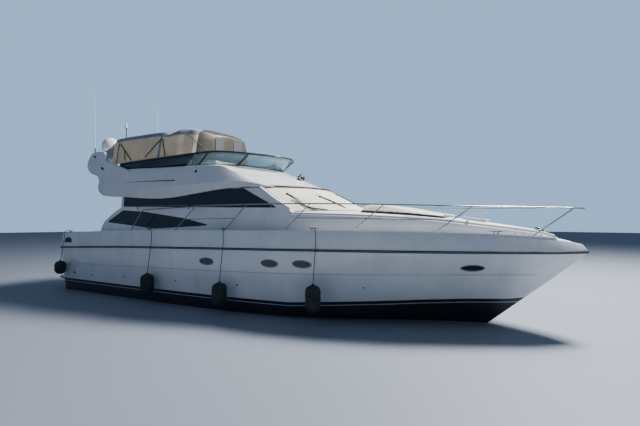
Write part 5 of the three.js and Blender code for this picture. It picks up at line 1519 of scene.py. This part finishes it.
def planked_material(name, light, dark, seam_colour, pitch, roughness):
    """Wood laid in planks, each a little different, with grain that runs along the boat."""
    material = finish_material(name, light, dark, roughness, bump=0.4, streaks=0.0, scales=(3.0, 200.0, 9.0))
    boards = add(material, "ShaderNodeGroup")
    boards.node_tree = PLANKING
    boards.inputs["Pitch"].default_value = pitch
    tone = add(material, "ShaderNodeMapRange", To_Min=0.72, To_Max=1.0)
    toned, seamed, grained = (add(material, "ShaderNodeMix") for _ in range(3))
    for mix in (toned, seamed, grained):
        mix.data_type = "RGBA"
    toned.blend_type = grained.blend_type = "MULTIPLY"
    toned.inputs[0].default_value = 1.0
    grained.inputs[0].default_value = 0.6
    seamed.inputs[7].default_value = (*seam_colour, 1.0)
    place = add(material, "ShaderNodeTexCoord")
    mapping = add(material, "ShaderNodeMapping", Scale=(2.0, 60.0, 60.0))
    grain = add(material, "ShaderNodeTexNoise", Scale=1.0, Detail=4.0)
    tree = material.node_tree
    join_nodes(material, [
        (boards.outputs["Tone"], tone.inputs["Value"]),
        (tree.nodes["worn_colour"].outputs[2], toned.inputs[6]),
        (tone.outputs["Result"], toned.inputs[7]), (place.outputs["Object"], mapping.inputs["Vector"]),
        (mapping.outputs["Vector"], grain.inputs["Vector"]), (toned.outputs[2], grained.inputs[6]),
        (grain.outputs["Fac"], grained.inputs[7]), (boards.outputs["Seam"], seamed.inputs[0]),
        (grained.outputs[2], seamed.inputs[6]),
        (seamed.outputs[2], tree.nodes["Principled BSDF"].inputs["Base Color"]),
    ])
    return material


teak = planked_material(
    "laid_teak", (0.62, 0.45, 0.28), (0.46, 0.32, 0.19), (0.015, 0.014, 0.013), 0.065, 0.65)
platform_teak = loft(
    "platform_teak", [[(x, y, z) for x, y in platform_outline(0.1)] for z in (0.424, 0.436)], degrees=30)
dressed(platform_teak, teak)
fender_half = [(-7.62, 2.0), *PLATFORM_HALF[1:]]
fender_line = fender_half + [(x, -y) for x, y in reversed(fender_half)]
edge = [(x, y, 0.375) for x, y in rounded(fender_line, 0.1)]
dressed(tube("platform_fender", edge, 0.02, sides=10), dark_rubber)

# Transom door
# A white door with a sunk panel closes the passage through the transom. It swings into the cockpit on
# steel hinges at its port side and has a lever latch inside.
DOOR_LOW, DOOR_HIGH = (-7.092, 0.866, 1.158), (-7.052, 1.4595, 1.88)


def select_faces(piece, chosen):
    """Opens a mesh for editing with only the chosen faces selected."""
    select_only(piece)
    bpy.ops.object.mode_set(mode="EDIT")
    bpy.ops.mesh.select_mode(type="FACE")
    bpy.ops.mesh.select_all(action="DESELECT")
    bpy.ops.object.mode_set(mode="OBJECT")
    for face in piece.data.polygons:
        face.select = chosen(face)
    bpy.ops.object.mode_set(mode="EDIT")


def sunk_panel(piece, chosen, margin, depth):
    """Insets the chosen faces and sinks what is inside them."""
    select_faces(piece, chosen)
    bpy.ops.mesh.inset(thickness=margin, depth=-depth)
    bpy.ops.object.mode_set(mode="OBJECT")


def soft_box(low, high, bevel=0.01, segments=3):
    """A block with rounded edges."""
    box = box_primitive(low, high)
    bevelled(box, bevel, segments)
    return smoothed(box)


door = box_primitive(DOOR_LOW, DOOR_HIGH)
sunk_panel(door, lambda face: abs(face.normal.x) > 0.9, 0.07, 0.006)
bevelled(door, 0.006, 2)
dressed(smoothed(door), gelcoat, "transom_door", ("transom_door",))
latch = [soft_box((-7.05, 0.90, 1.62), (-7.044, 0.94, 1.72), 0.002),
         tube("latch_lever", [(-7.046, 0.92, 1.68), (-7.03, 0.92, 1.68), (-7.026, 0.95, 1.68),
                              (-7.026, 1.02, 1.68)], 0.007, sides=10),
         *[tube("hinge_pin", [(-7.052, 1.4545, z), (-7.052, 1.4545, z + 0.04), (-7.052, 1.4545, z + 0.08)],
                0.0045, sides=10)
           for z in (1.24, 1.5, 1.76)]]
dressed(smoothed(joined("transom_door_fittings", latch)), steel, "transom_door")

# Cockpit and saloon floors
# The cockpit floor and the lid of the engine hatch in it are laid with teak; the saloon has a varnished
# plank floor. The lid lifts by a flush steel ring.
finished_node("cockpit_sole", teak)
finished_node("engine_hatch_lid", teak)
LIFT_RING = (-5.48, -0.1)
planked_floor = planked_material(
    "varnished_planks", (0.42, 0.27, 0.16), (0.30, 0.18, 0.10), (0.10, 0.06, 0.03), 0.11, 0.3)
finished_node("saloon_sole", planked_floor)
ring = placed(torus(0.045, 0.005, 32, 8), seated((*LIFT_RING, 1.1515)))
plate_under = placed(disc(0.062, 0.006, bevel=0.002), seated((*LIFT_RING, 1.150)))
dressed(smoothed(joined("hatch_lift_ring", [ring, plate_under])), steel, "engine_hatch_lid")

# Engines
# Two painted diesel engines stand on either side of the centreline: block, oil pan, rocker covers, air
# filter, manifolds and gearbox.
engine_paint = finish_material(
    "engine_enamel", (0.56, 0.58, 0.58), (0.40, 0.42, 0.43), 0.4, bump=0.15, scales=(4.0, 160.0, 9.0))
ENGINE_Y = 0.95
for side, word in SIDES:
    y = side * ENGINE_Y
    parts = [soft_box((-3.72, y - 0.23, 0.0), (-2.6, y + 0.23, 0.44), 0.03),
             soft_box((-3.6, y - 0.17, -0.14), (-2.75, y + 0.17, 0.02), 0.05),
             soft_box((-3.99, y - 0.19, -0.05), (-3.7, y + 0.19, 0.36), 0.06),
             soft_box((-3.5, y - 0.12, 0.72), (-2.8, y + 0.12, 0.88), 0.06)]
    for across in (-0.15, 0.15):
        parts.append(soft_box((-3.62, y + across - 0.085, 0.43), (-2.7, y + across + 0.085, 0.6), 0.03))
        parts.append(tube("manifold", [(-3.6, y + across * 2.2, 0.36), (-3.15, y + across * 2.2, 0.38),
                                       (-2.7, y + across * 2.2, 0.36)], 0.06, sides=14))
        parts += [tube("runner", [(x, y + across * 2.2, 0.37), (x, y + across * 1.7, 0.45),
                                  (x, y + across, 0.5)], 0.035, sides=10) for x in (-3.4, -3.15, -2.9)]
    parts.append(tube("intake", [(-2.85, y, 0.8), (-2.66, y, 0.74), (-2.62, y, 0.5)], 0.06, sides=14))
    parts += [placed(disc(r, 0.05, bevel=0.008), seated((-2.55, y + dy, z), (90, "Y")))
              for r, dy, z in ((0.13, 0.0, 0.1), (0.07, 0.12, 0.34), (0.08, -0.1, 0.36))]
    dressed(smoothed(joined("engine_" + word + "_assembly", parts)), engine_paint,
            replaces=("engine_" + word,))

# Propellers and shafts
# Each shaft slopes down aft through a strut to a four-bladed bronze propeller. The two turn opposite ways.
bronze = finish_material("cast_bronze", (0.58, 0.40, 0.17), (0.34, 0.25, 0.13), 0.3, metallic=1.0, bump=0.25,
                         scales=(7.0, 220.0, 9.0))
SHAFT_SLOPE = math.radians(10.0)
PROPELLER_AT = (-6.75, -0.86)
BLADE_CHORDS = (0.10, 0.13, 0.155, 0.172, 0.18, 0.176, 0.158, 0.12, 0.05)
BLADE_PITCH = 0.5


def shaft_seat(distance, y):
    """A matrix on the shaft's line, with X along it, at a distance forward of the propeller."""
    turn = Matrix.Rotation(-SHAFT_SLOPE, 4, "Y")
    place = Vector((PROPELLER_AT[0], y, PROPELLER_AT[1])) + turn @ Vector((distance, 0, 0))
    return Matrix.Translation(place) @ turn


def blade(hand):
    """One twisted blade that stands up from the hub; its chord turns from along the shaft to across it."""
    rings = []
    for k, chord in enumerate(BLADE_CHORDS):
        r = 0.045 + 0.28 * k / 8
        lean = math.atan2(BLADE_PITCH, 2 * math.pi * r)
        thick = 0.011 - 0.0095 * k / 8
        sweep = hand * 0.05 * (k / 8) ** 2
        ring = []
        for a in circle(16):
            u, v = math.cos(a) * chord / 2, math.sin(a) * thick
            ring.append((u * math.sin(lean) - v * math.cos(lean),
                         hand * (u * math.cos(lean) + v * math.sin(lean)) + sweep, r))
        rings.append(ring)
    return loft("blade", rings, degrees=60)


def lathed(name, profile, sides):
    """A round solid about the X axis; the profile is place and radius from aft to fore."""
    rings = [[(x, r * math.cos(a), r * math.sin(a)) for a in circle(sides)] for x, r in profile]
    return loft(name, rings, degrees=50)


for side, word in SIDES:
    y = side * ENGINE_Y
    profile = ((-0.11, 0.018), (-0.10, 0.036), (-0.06, 0.054), (0.0, 0.062), (0.06, 0.06), (0.09, 0.052),
               (0.092, 0.034))
    parts = [placed(lathed("hub", profile, 32), shaft_seat(0, y))]
    for k in range(4):
        parts.append(placed(blade(side), shaft_seat(0, y) @ Matrix.Rotation(k * math.pi / 2, 4, "X")))
    parts.append(placed(lathed("shaft", ((0.05, 0.032), (1.522, 0.032)), 24), shaft_seat(0, y)))
    dressed(smoothed(joined("propeller_" + word + "_assembly", parts), 50), bronze,
            "propeller_" + word, ("propeller_" + word,))
    barrel = lathed("barrel", ((-0.09, 0.044), (-0.08, 0.054), (0.08, 0.054), (0.09, 0.044)), 32)
    cut_away(barrel, lathed("bore", ((-0.2, 0.0338), (0.2, 0.0338)), 32))
    seat = shaft_seat(0.274, y)
    foot = seat.translation
    rings = []
    for k in range(7):
        t = k / 6
        z, half, middle = foot.z + 0.045 + (0.44 * t), 0.055 + 0.014 * t, foot.x + 0.05 * t
        rings.append([(middle + math.cos(a) * half, y + math.sin(a) * 0.013 * (1 + 0.3 * math.cos(a)), z)
                      for a in circle(20)])
    strut = joined("shaft_strut_" + word, [placed(barrel, seat), loft("strut_leg", rings, degrees=60)])
    dressed(smoothed(strut, 50), bronze, replaces=("shaft_bracket_" + word,))

# Rudders
# Each rudder is a bronze blade with a rounded leading edge, thinner at its tail. Its stock runs up into
# the hull.
RUDDER_X = -7.15
for side, word in SIDES:
    y = side * ENGINE_Y
    rings = []
    for k in range(9):
        t = k / 8
        aft, fore = RUDDER_X - 0.33 + 0.07 * t, RUDDER_X + 0.14 + 0.05 * t
        ring = []
        for a in circle(28):
            u = (1 + math.cos(a)) / 2
            ring.append((aft + (fore - aft) * u, y + 0.0255 * math.sin(a) * min(1.0, 0.35 + 0.9 * u),
                         -1.12 + 0.48 * t))
        rings.append(ring)
    blade_body = loft("rudder_blade", rings, degrees=50)
    bevelled(blade_body, 0.006, 2, 60)
    stock = turned("stock", ((0.03, -0.72), (0.03, -0.11)), 24, (RUDDER_X, y))
    dressed(smoothed(joined("rudder_" + word + "_assembly", [blade_body, stock]), 50), bronze,
            "rudder_" + word, ("rudder_" + word,))

# Trim tabs
# Two steel plates are hinged under the transom on a long pin each. Three ribs stiffen each plate.
for side, word in SIDES:
    low, high = sorted((side * 1.15, side * 1.85))
    parts = [soft_box((-7.93, low, -0.33), (-7.606, high, -0.321), 0.002)]
    parts += [soft_box((-7.9, y - 0.008, -0.323), (-7.64, y + 0.008, -0.3155), 0.002)
              for y in (low + 0.12, (low + high) / 2, high - 0.12)]
    parts.append(tube("tab_hinge", [(-7.608, low, -0.3235), (-7.608, (low + high) / 2, -0.3235),
                                    (-7.608, high, -0.3235)], 0.0062))
    dressed(smoothed(joined("trim_tab_" + word + "_plate", parts)), steel, "trim_tab_" + word,
            ("trim_tab_" + word,))

# Foredeck hatch
# The lid is a white frame with a smoked lens let into it. It stands on the trunk's coaming and turns about
# one of its edges.
HATCH_RIM = 0.055
lid = hatch_box(0.0265, 0.058, HATCH["x0"], HATCH["x1"], HATCH["half"])
cut_away(
    lid, hatch_box(0.049, 0.2, HATCH["x0"] + HATCH_RIM, HATCH["x1"] - HATCH_RIM, HATCH["half"] - HATCH_RIM))
bevelled(lid, 0.008, 3)
dressed(smoothed(lid, 35), white_enamel_and_reflection, "foredeck_hatch_lid", ("foredeck_hatch_lid",))
inside = HATCH_RIM + 0.002
lens = hatch_box(0.047, 0.055, HATCH["x0"] + inside, HATCH["x1"] - inside, HATCH["half"] - inside)
bevelled(lens, 0.003, 2)
dressed(smoothed(lens, 35), dark_glass_and_shade, "foredeck_hatch_lid")

# Toe rails and cleats
# A low white moulded toe rail follows each deck edge from the transom nearly to the stem. Polished horn
# cleats are bolted through it, five a side.
CLEAT_X = (-7.15, -3.0, -0.09, 2.55, 6.32)
TOE_SECTION = ((0.045, -0.004), (0.044, 0.024), (0.036, 0.034), (0.014, 0.034), (0.006, 0.024),
               (0.005, -0.004))
toe_rails, cleats = [], []
for side in (-1, 1):
    rings = []
    for k in range(91):
        edge = deck_edge_at(-7.595 + 15.02 * k / 90)
        rings.append([(edge.x, side * (edge.y - inset), edge.z + up) for inset, up in TOE_SECTION])
    toe_rails.append(loft("toe_rail", rings, degrees=50))
    for x in CLEAT_X:
        edge = deck_edge_at(x)
        y, bar_z = side * (edge.y - 0.022), edge.z + 0.08
        horn = [(x - 0.14 + 0.28 * k / 14, y, bar_z + 0.01 * abs(k / 7 - 1) ** 3) for k in range(15)]
        cleats.append(tube("horn", horn, lambda t: 0.006 + 0.008 * (1 - abs(2 * t - 1) ** 3), sides=10))
        for shift in (-0.04, 0.04):
            cleats.append(turned("leg", ((0.02, edge.z + 0.03), (0.012, edge.z + 0.045), (0.011, bar_z)), 12,
                                 (x + shift, y)))
dressed(joined("toe_rails", toe_rails), gelcoat, replaces=("toe_rail_starboard", "toe_rail_port"))
dressed(smoothed(joined("cleats", cleats), 50), steel)

# Windlass
# A low steel windlass with its drum across the boat stands at the fore end of the trunk.
WINDLASS_X = 7.06
seat_z = trunk_top(WINDLASS_X, 0)
gear = [soft_box((6.92, -0.085, seat_z - 0.03), (7.17, 0.085, seat_z + 0.014), 0.012),
        soft_box((6.98, -0.045, seat_z + 0.01), (7.11, 0.045, seat_z + 0.062), 0.02)]
for y, radius, depth in ((-0.085, 0.034, 0.02), (-0.07, 0.024, 0.04), (-0.053, 0.034, 0.014),
                         (0.055, 0.03, 0.02), (0.08, 0.022, 0.05), (0.108, 0.03, 0.012)):
    gear.append(
        placed(disc(radius, depth, bevel=0.003), seated((WINDLASS_X - 0.01, y, seat_z + 0.04), (90, "X"))))
dressed(smoothed(joined("windlass_assembly", gear)), steel, replaces=("windlass",))

# Saloon ends
# The aft bulkhead is white with a fixed pane beside the doorway; the door slides across that pane on a track.
# The windscreen's curved glass shows only from inside, under its cover.
finished_node("saloon_aft_bulkhead", gelcoat)
finished_node("saloon_aft_window", dark_glass_and_shade)
finished_node("saloon_windscreen", dark_glass_and_shade)
AFT_PANE, AFT_FACE = ((0.08, 2.15), (1.45, 2.15), (1.45, 3.06), (0.08, 3.06)), -4.5
edge = [(AFT_FACE + 0.004, y, z) for y, z in rounded(AFT_PANE, 0.03)]
dressed(tube("aft_window_gasket", edge + edge[:1], 0.009, sides=6), dark_rubber)
DOOR_NEAR, DOOR_FAR = (-4.43, -0.98, 1.171), (-4.395, -0.02, 3.1)
door_frame = box_primitive(DOOR_NEAR, DOOR_FAR)
cut_away(door_frame, box_primitive((-4.5, -0.9, 1.3), (-4.3, -0.1, 3.02)))
bevelled(door_frame, 0.004, 2)
dressed(smoothed(door_frame), black_frame, "saloon_door", ("saloon_door",))
door_pane = soft_box((-4.417, -0.905, 1.295), (-4.407, -0.095, 3.025), 0.001, 1)
dressed(door_pane, dark_glass_and_shade, "saloon_door")
pull = tube("door_pull", [(-4.428, -0.945, 2.0), (-4.4335, -0.945, 2.03), (-4.4335, -0.945, 2.15),
                          (-4.4335, -0.945, 2.27), (-4.428, -0.945, 2.3)], 0.006, sides=10)
dressed(pull, steel, "saloon_door")

# Helm consoles
# The flybridge console is a white moulding and the one in the saloon is veneered. Both have a raked dash with
# round gauges in a dark panel before the wheel.
veneer = finish_material("walnut_veneer", (0.30, 0.17, 0.09), (0.17, 0.09, 0.045), 0.35, bump=0.1, coat=0.3,
                         streaks=0.85, scales=(1.2, 120.0, 18.0))
gauge_face = finish_material(
    "gauge_faces", (0.05, 0.052, 0.055), (0.03, 0.031, 0.033), 0.3, bump=0.05, scales=(30.0, 300.0, 40.0))
HELMS = {
    "flybridge": {"wheel": (-2.29, -0.48, 4.01), "lean": 28.0, "side": (-1.1, 0.15), "foot": (-2.05, 3.3805),
                  "knee": 3.86, "brow": 4.16,
                  "front": ((-1.5, 3.3805), (-1.5, 4.18), (-1.75, 4.23)), "tuck": (-2.05, 3.76)},
    "lower": {"wheel": (0.905, -0.9, 2.39), "lean": 30.0, "side": (-1.5, -0.3), "foot": (0.8, 1.1705),
              "knee": 2.2, "brow": 2.54,
              "front": ((1.56, 1.1705), (1.56, 2.54)), "tuck": (0.8, 2.15)},
}


def dash_seat(helm, out=0.0, across=0.0, up=0.0):
    """A matrix at the wheel's centre whose Z axis points along its shaft at the helmsman."""
    lean = math.radians(helm["lean"])
    normal, rise = Vector((-math.cos(lean), 0, math.sin(lean))), Vector((math.sin(lean), 0, math.cos(lean)))
    matrix = Matrix((rise, normal.cross(rise), normal)).transposed().to_4x4()
    matrix.translation = Vector(helm["wheel"]) + normal * out + rise * up + Vector((0, across, 0))
    return matrix


def side_block(name, outline, low_y, high_y, bevel=0.02):
    """A moulding with one outline from side to side, its edges rounded."""
    block = loft(name, [[(x, y, z) for x, z in outline] for y in (low_y, high_y)])
    bevelled(block, bevel, 3)
    return smoothed(block, 35)


WHEEL_OUT = 0.0705
for word, material, slot, node in (("flybridge", gelcoat, "gelcoat", "flybridge_console"),
                                   ("lower", veneer, "veneer", "lower_helm")):
    helm = HELMS[word]
    dash = dash_seat(helm, -WHEEL_OUT).translation.copy()
    rake = math.tan(math.radians(helm["lean"]))
    slope = [(dash.x + (z - dash.z) * rake, z) for z in (helm["brow"], helm["knee"])]
    console = side_block(word + "_dash", [helm["foot"], *helm["front"], *slope, helm["tuck"]], *helm["side"])
    dressed(console, material, replaces=(node,))
    middle = (helm["side"][0] + helm["side"][1]) / 2 - helm["wheel"][1]
    panel = box_primitive((-0.11, -0.5, -0.004), (0.15, 0.5, 0.004))
    bevelled(panel, 0.003, 2)
    panels, faces = [placed(panel, dash_seat(helm, -WHEEL_OUT, middle, 0))], []
    for across, up in ((-0.2, 0.1), (-0.07, 0.1), (0.07, 0.1), (0.2, 0.1), (-0.36, 0.04), (0.36, 0.04)):
        panels.append(placed(torus(0.042, 0.004, 28, 8),
                             dash_seat(helm, -WHEEL_OUT + 0.005, across * 0.98 + middle * 0.3, up)))
        faces.append(placed(disc(0.04, 0.004, sides=28),
                            dash_seat(helm, -WHEEL_OUT + 0.004, across * 0.98 + middle * 0.3, up)))
    dressed(smoothed(joined(word + "_panel", panels)), black_frame)
    dressed(smoothed(joined(word + "_gauges", faces)), gauge_face)
    rim = placed(torus(0.19, 0.0145, 48, 12), dash_seat(helm))
    spokes = [placed(tube("spoke", [(0.02, 0, -0.012), (0.1, 0, -0.012), (0.188, 0, 0)],
                          lambda t: 0.011 - 0.003 * t, sides=10),
                     dash_seat(helm) @ Matrix.Rotation(math.radians(90 + 120 * k), 4, "Z")) for k in range(3)]
    hub = turned(
        "wheel_hub", ((0.022, -0.07), (0.022, -0.03), (0.034, -0.024), (0.034, 0.012), (0.026, 0.022)), 32)
    spokes.append(placed(hub, dash_seat(helm)))
    dressed(smoothed(rim, 60), dark_rubber, word + "_wheel", (word + "_wheel",))
    dressed(smoothed(joined(word + "_wheel_spokes", spokes), 50), steel, word + "_wheel")

# Seats
# Moulded bases on the flybridge and in the cockpit and a veneered one in the saloon carry boxed cushions with
# piped edges: seats, and backs that stand behind them.


def cushion(size):
    """A stuffed boxed cushion about the origin, with piping round both of its large faces."""
    a, b, c = (length / 2 - COVER_SLACK for length in size)
    pad = box_primitive((-a, -b, -c), (a, b, c))
    bevelled(pad, min(size) * 0.22, 3)
    puffed(pad, 0.012, min(size) * 0.2)
    inset = min(size) * 0.06
    rim = rounded([(-a + inset, -b + inset), (a - inset, -b + inset), (a - inset, b - inset),
                   (-a + inset, b - inset)], 0.05, steps=4)
    pipes = [piping(pad, [(x, y, z) for x, y in rim + rim[:1]], 0.005) for z in (-c + inset, c - inset)]
    return joined("cushion", [pad, *pipes])


def copied(piece, matrix):
    """A copy of a piece with a mesh of its own, put in its place."""
    twin = bpy.data.objects.new(piece.name, piece.data.copy())
    bpy.context.collection.objects.link(twin)
    twin.data.transform(matrix)
    return twin


def seat_row(name, node, base, material, counts, axis, seat, back):
    """A base with a row of seat and back cushions along an axis; seat and back are boxes of the whole row."""
    parts = []
    for low, high, upright in ((*seat, False), (*back, True)):
        size = [(b - a) / (counts if k == axis else 1) for k, (a, b) in enumerate(zip(low, high))]
        if not upright:
            model, turns = cushion(size), ()
        elif axis == 0:
            model, turns = cushion((size[0], size[2], size[1])), [(90, "X")]
        else:
            model, turns = cushion((size[2], size[1], size[0])), [(90, "Y")]
        for k in range(counts):
            middle = [(a + b) / 2 for a, b in zip(low, high)]
            middle[axis] = low[axis] + size[axis] * (k + 0.5)
            parts.append(copied(model, seated(middle, *turns)))
        bpy.data.objects.remove(model)
    dressed(base, material, replaces=(node,))
    dressed(joined(name + "_cushions", parts), vinyl, replaces=(node,))


seat_row("helm_seat", "helm_seat", soft_box((-3.35, -1.0, 3.3805), (-2.95, 0.05, 3.755), 0.03), gelcoat,
         2, 1, ((-3.40, -1.05, 3.755), (-2.90, 0.10, 3.88)),
         ((-3.45, -1.05, 3.80), (-3.34, 0.10, 4.33)))
seat_row("flybridge_settee", "flybridge_settee", soft_box((-4.6, 1.0, 3.3805), (-2.3, 1.56, 3.68), 0.02),
         gelcoat, 3, 0, ((-4.6, 1.0, 3.68), (-2.3, 1.43, 3.80)),
         ((-4.6, 1.43, 3.68), (-2.3, 1.56, 4.13)))
seat_row("cockpit_bench", "cockpit_bench", soft_box((-7.03, -1.78, 1.1505), (-6.45, 0.7, 1.50), 0.02),
         gelcoat, 3, 1, ((-6.92, -1.78, 1.50), (-6.43, 0.7, 1.62)),
         ((-7.03, -1.78, 1.50), (-6.92, 0.7, 1.95)))
seat_row("saloon_settee", "saloon_settee", soft_box((-4.2, 1.05, 1.1705), (-1.2, 1.78, 1.48), 0.015), veneer,
         4, 0, ((-4.2, 1.05, 1.48), (-1.2, 1.56, 1.60)), ((-4.2, 1.56, 1.48), (-1.2, 1.78, 2.08)))

# Saloon cabinet
# A veneered cabinet with four flush doors and a pale worktop stands along the starboard side.
dressed(soft_box((-3.59, -1.77, 1.1705), (-0.71, -1.17, 2.025), 0.004), veneer,
        replaces=("saloon_cabinet",))
DOORS_AFT, DOOR_PITCH = -3.57, 0.71
cabinet_doors = [soft_box((DOORS_AFT + DOOR_PITCH * k, -1.172, 1.25),
                          (DOORS_AFT + DOOR_PITCH * k + 0.7, -1.152, 2.0), 0.004) for k in range(4)]
dressed(smoothed(joined("cabinet_doors", cabinet_doors)), veneer)
dressed(soft_box((-3.6, -1.78, 2.025), (-0.7, -1.15, 2.06), 0.008), white_enamel_and_reflection)
knobs = [placed(disc(0.012, 0.012, sides=20, bevel=0.002),
                seated((DOORS_AFT + DOOR_PITCH * k + (0.64 if k % 2 == 0 else 0.06), -1.151, 1.9), (90, "X")))
         for k in range(4)]
dressed(smoothed(joined("cabinet_knobs", knobs)), steel)

# Flybridge stair
# Two white stringers with teak treads between them rise from the cockpit to the opening in the upper deck.
STAIR_FOOT, STAIR_HEAD = (-6.05, 1.1505), (-4.90, 3.355)
STAIR_RISE = STAIR_HEAD[1] - STAIR_FOOT[1]


def stair_x(z):
    """The place along the boat of the stair's middle line at a height."""
    return STAIR_FOOT[0] + (STAIR_HEAD[0] - STAIR_FOOT[0]) * (z - STAIR_FOOT[1]) / STAIR_RISE


foot_z, head_z = STAIR_FOOT[1], STAIR_HEAD[1]
stringer = [(stair_x(z) + shift, z)
            for z, shift in ((foot_z, -0.085), (foot_z, 0.085), (head_z, 0.085), (head_z, -0.085))]
stringers = [side_block("stringer", stringer, y0, y1, 0.008) for y0, y1 in ((0.942, 0.978), (1.502, 1.538))]
dressed(smoothed(joined("stair_stringers", stringers), 35), gelcoat, replaces=("flybridge_stair",))
treads = []
for k in range(1, 9):
    z = STAIR_FOOT[1] + STAIR_RISE * k / 9
    treads.append(
        soft_box((stair_x(z) - 0.12, 0.975, z - 0.017), (stair_x(z) + 0.12, 1.505, z + 0.017), 0.006))
dressed(smoothed(joined("stair_treads", treads)), teak)

# Fenders
# Four fenders in ribbed dark covers hang at the waterline on taut lines, over the toe rail to their cleats.
FENDER_BEND_Z = 1.825
# Each fender: place along the boat, height of its foot, length, radius, place of its cleat.
FENDERS = ((-7.30, 0.57, 0.45, 0.18, -7.15), (-2.72, 0.30, 0.58, 0.19, -3.0), (0.02, 0.25, 0.58, 0.19, -0.09),
           (2.69, 0.33, 0.62, 0.175, 2.55))
FENDER_NODES = ("fender_quarter", "fender_aft", "fender_middle", "fender_forward")
CLEAT_TOP = 0.08
fender_cover = finish_material("dark_fender_cover", (0.045, 0.047, 0.052), (0.02, 0.021, 0.024), 0.85,
                               bump=0.8, scales=(5.0, 180.0, 60.0))
rope = finish_material(
    "dark_braided_line", (0.05, 0.05, 0.055), (0.025, 0.025, 0.028), 0.8, bump=0.8, scales=(8.0, 300.0, 90.0))
for (x, foot_z, height, radius, cleat_x), node in zip(FENDERS, FENDER_NODES):
    widest = hull_at("rail_high", x).y
    y = -(widest + radius + 0.004)
    profile = [(radius * 0.12, 0.0), (radius * 0.5, 0.015), (radius * 0.85, 0.07), (radius * 0.97, 0.12)]
    profile += [(radius * (0.992 + 0.008 * math.cos(k * math.pi)), 0.15 + (height - 0.28) * k / 12)
                for k in range(13)]
    profile += [(radius * 0.93, height - 0.1), (radius * 0.8, height - 0.05), (radius * 0.4, height - 0.012),
                (radius * 0.14, height)]
    body = turned(node + "_body", [(r, z + foot_z) for r, z in profile], 32, (x, y))
    dressed(body, fender_cover, replaces=(node,))
    cleat_y = deck_edge_at(cleat_x).y - 0.022
    over_z = deck_edge_at(cleat_x).z + CLEAT_TOP + 0.01
    line_y = -(widest + 0.06)
    route = [(x, y, foot_z + height - 0.02), (x, (y + line_y) / 2, (foot_z + height + FENDER_BEND_Z) / 2),
             (x, line_y, FENDER_BEND_Z), (x, line_y, over_z - 0.05),
             ((x + cleat_x) / 2, line_y + 0.04, over_z), (cleat_x, -cleat_y + 0.02, over_z)]
    line = tube(node + "_line", route, 0.009, sides=8)
    dressed(line, rope)
    eye = placed(disc(0.03, 0.03, sides=16, bevel=0.008), seated((x, y, foot_z + height + 0.012)))
    dressed(smoothed(joined(node + "_eye", [eye])), fender_cover)
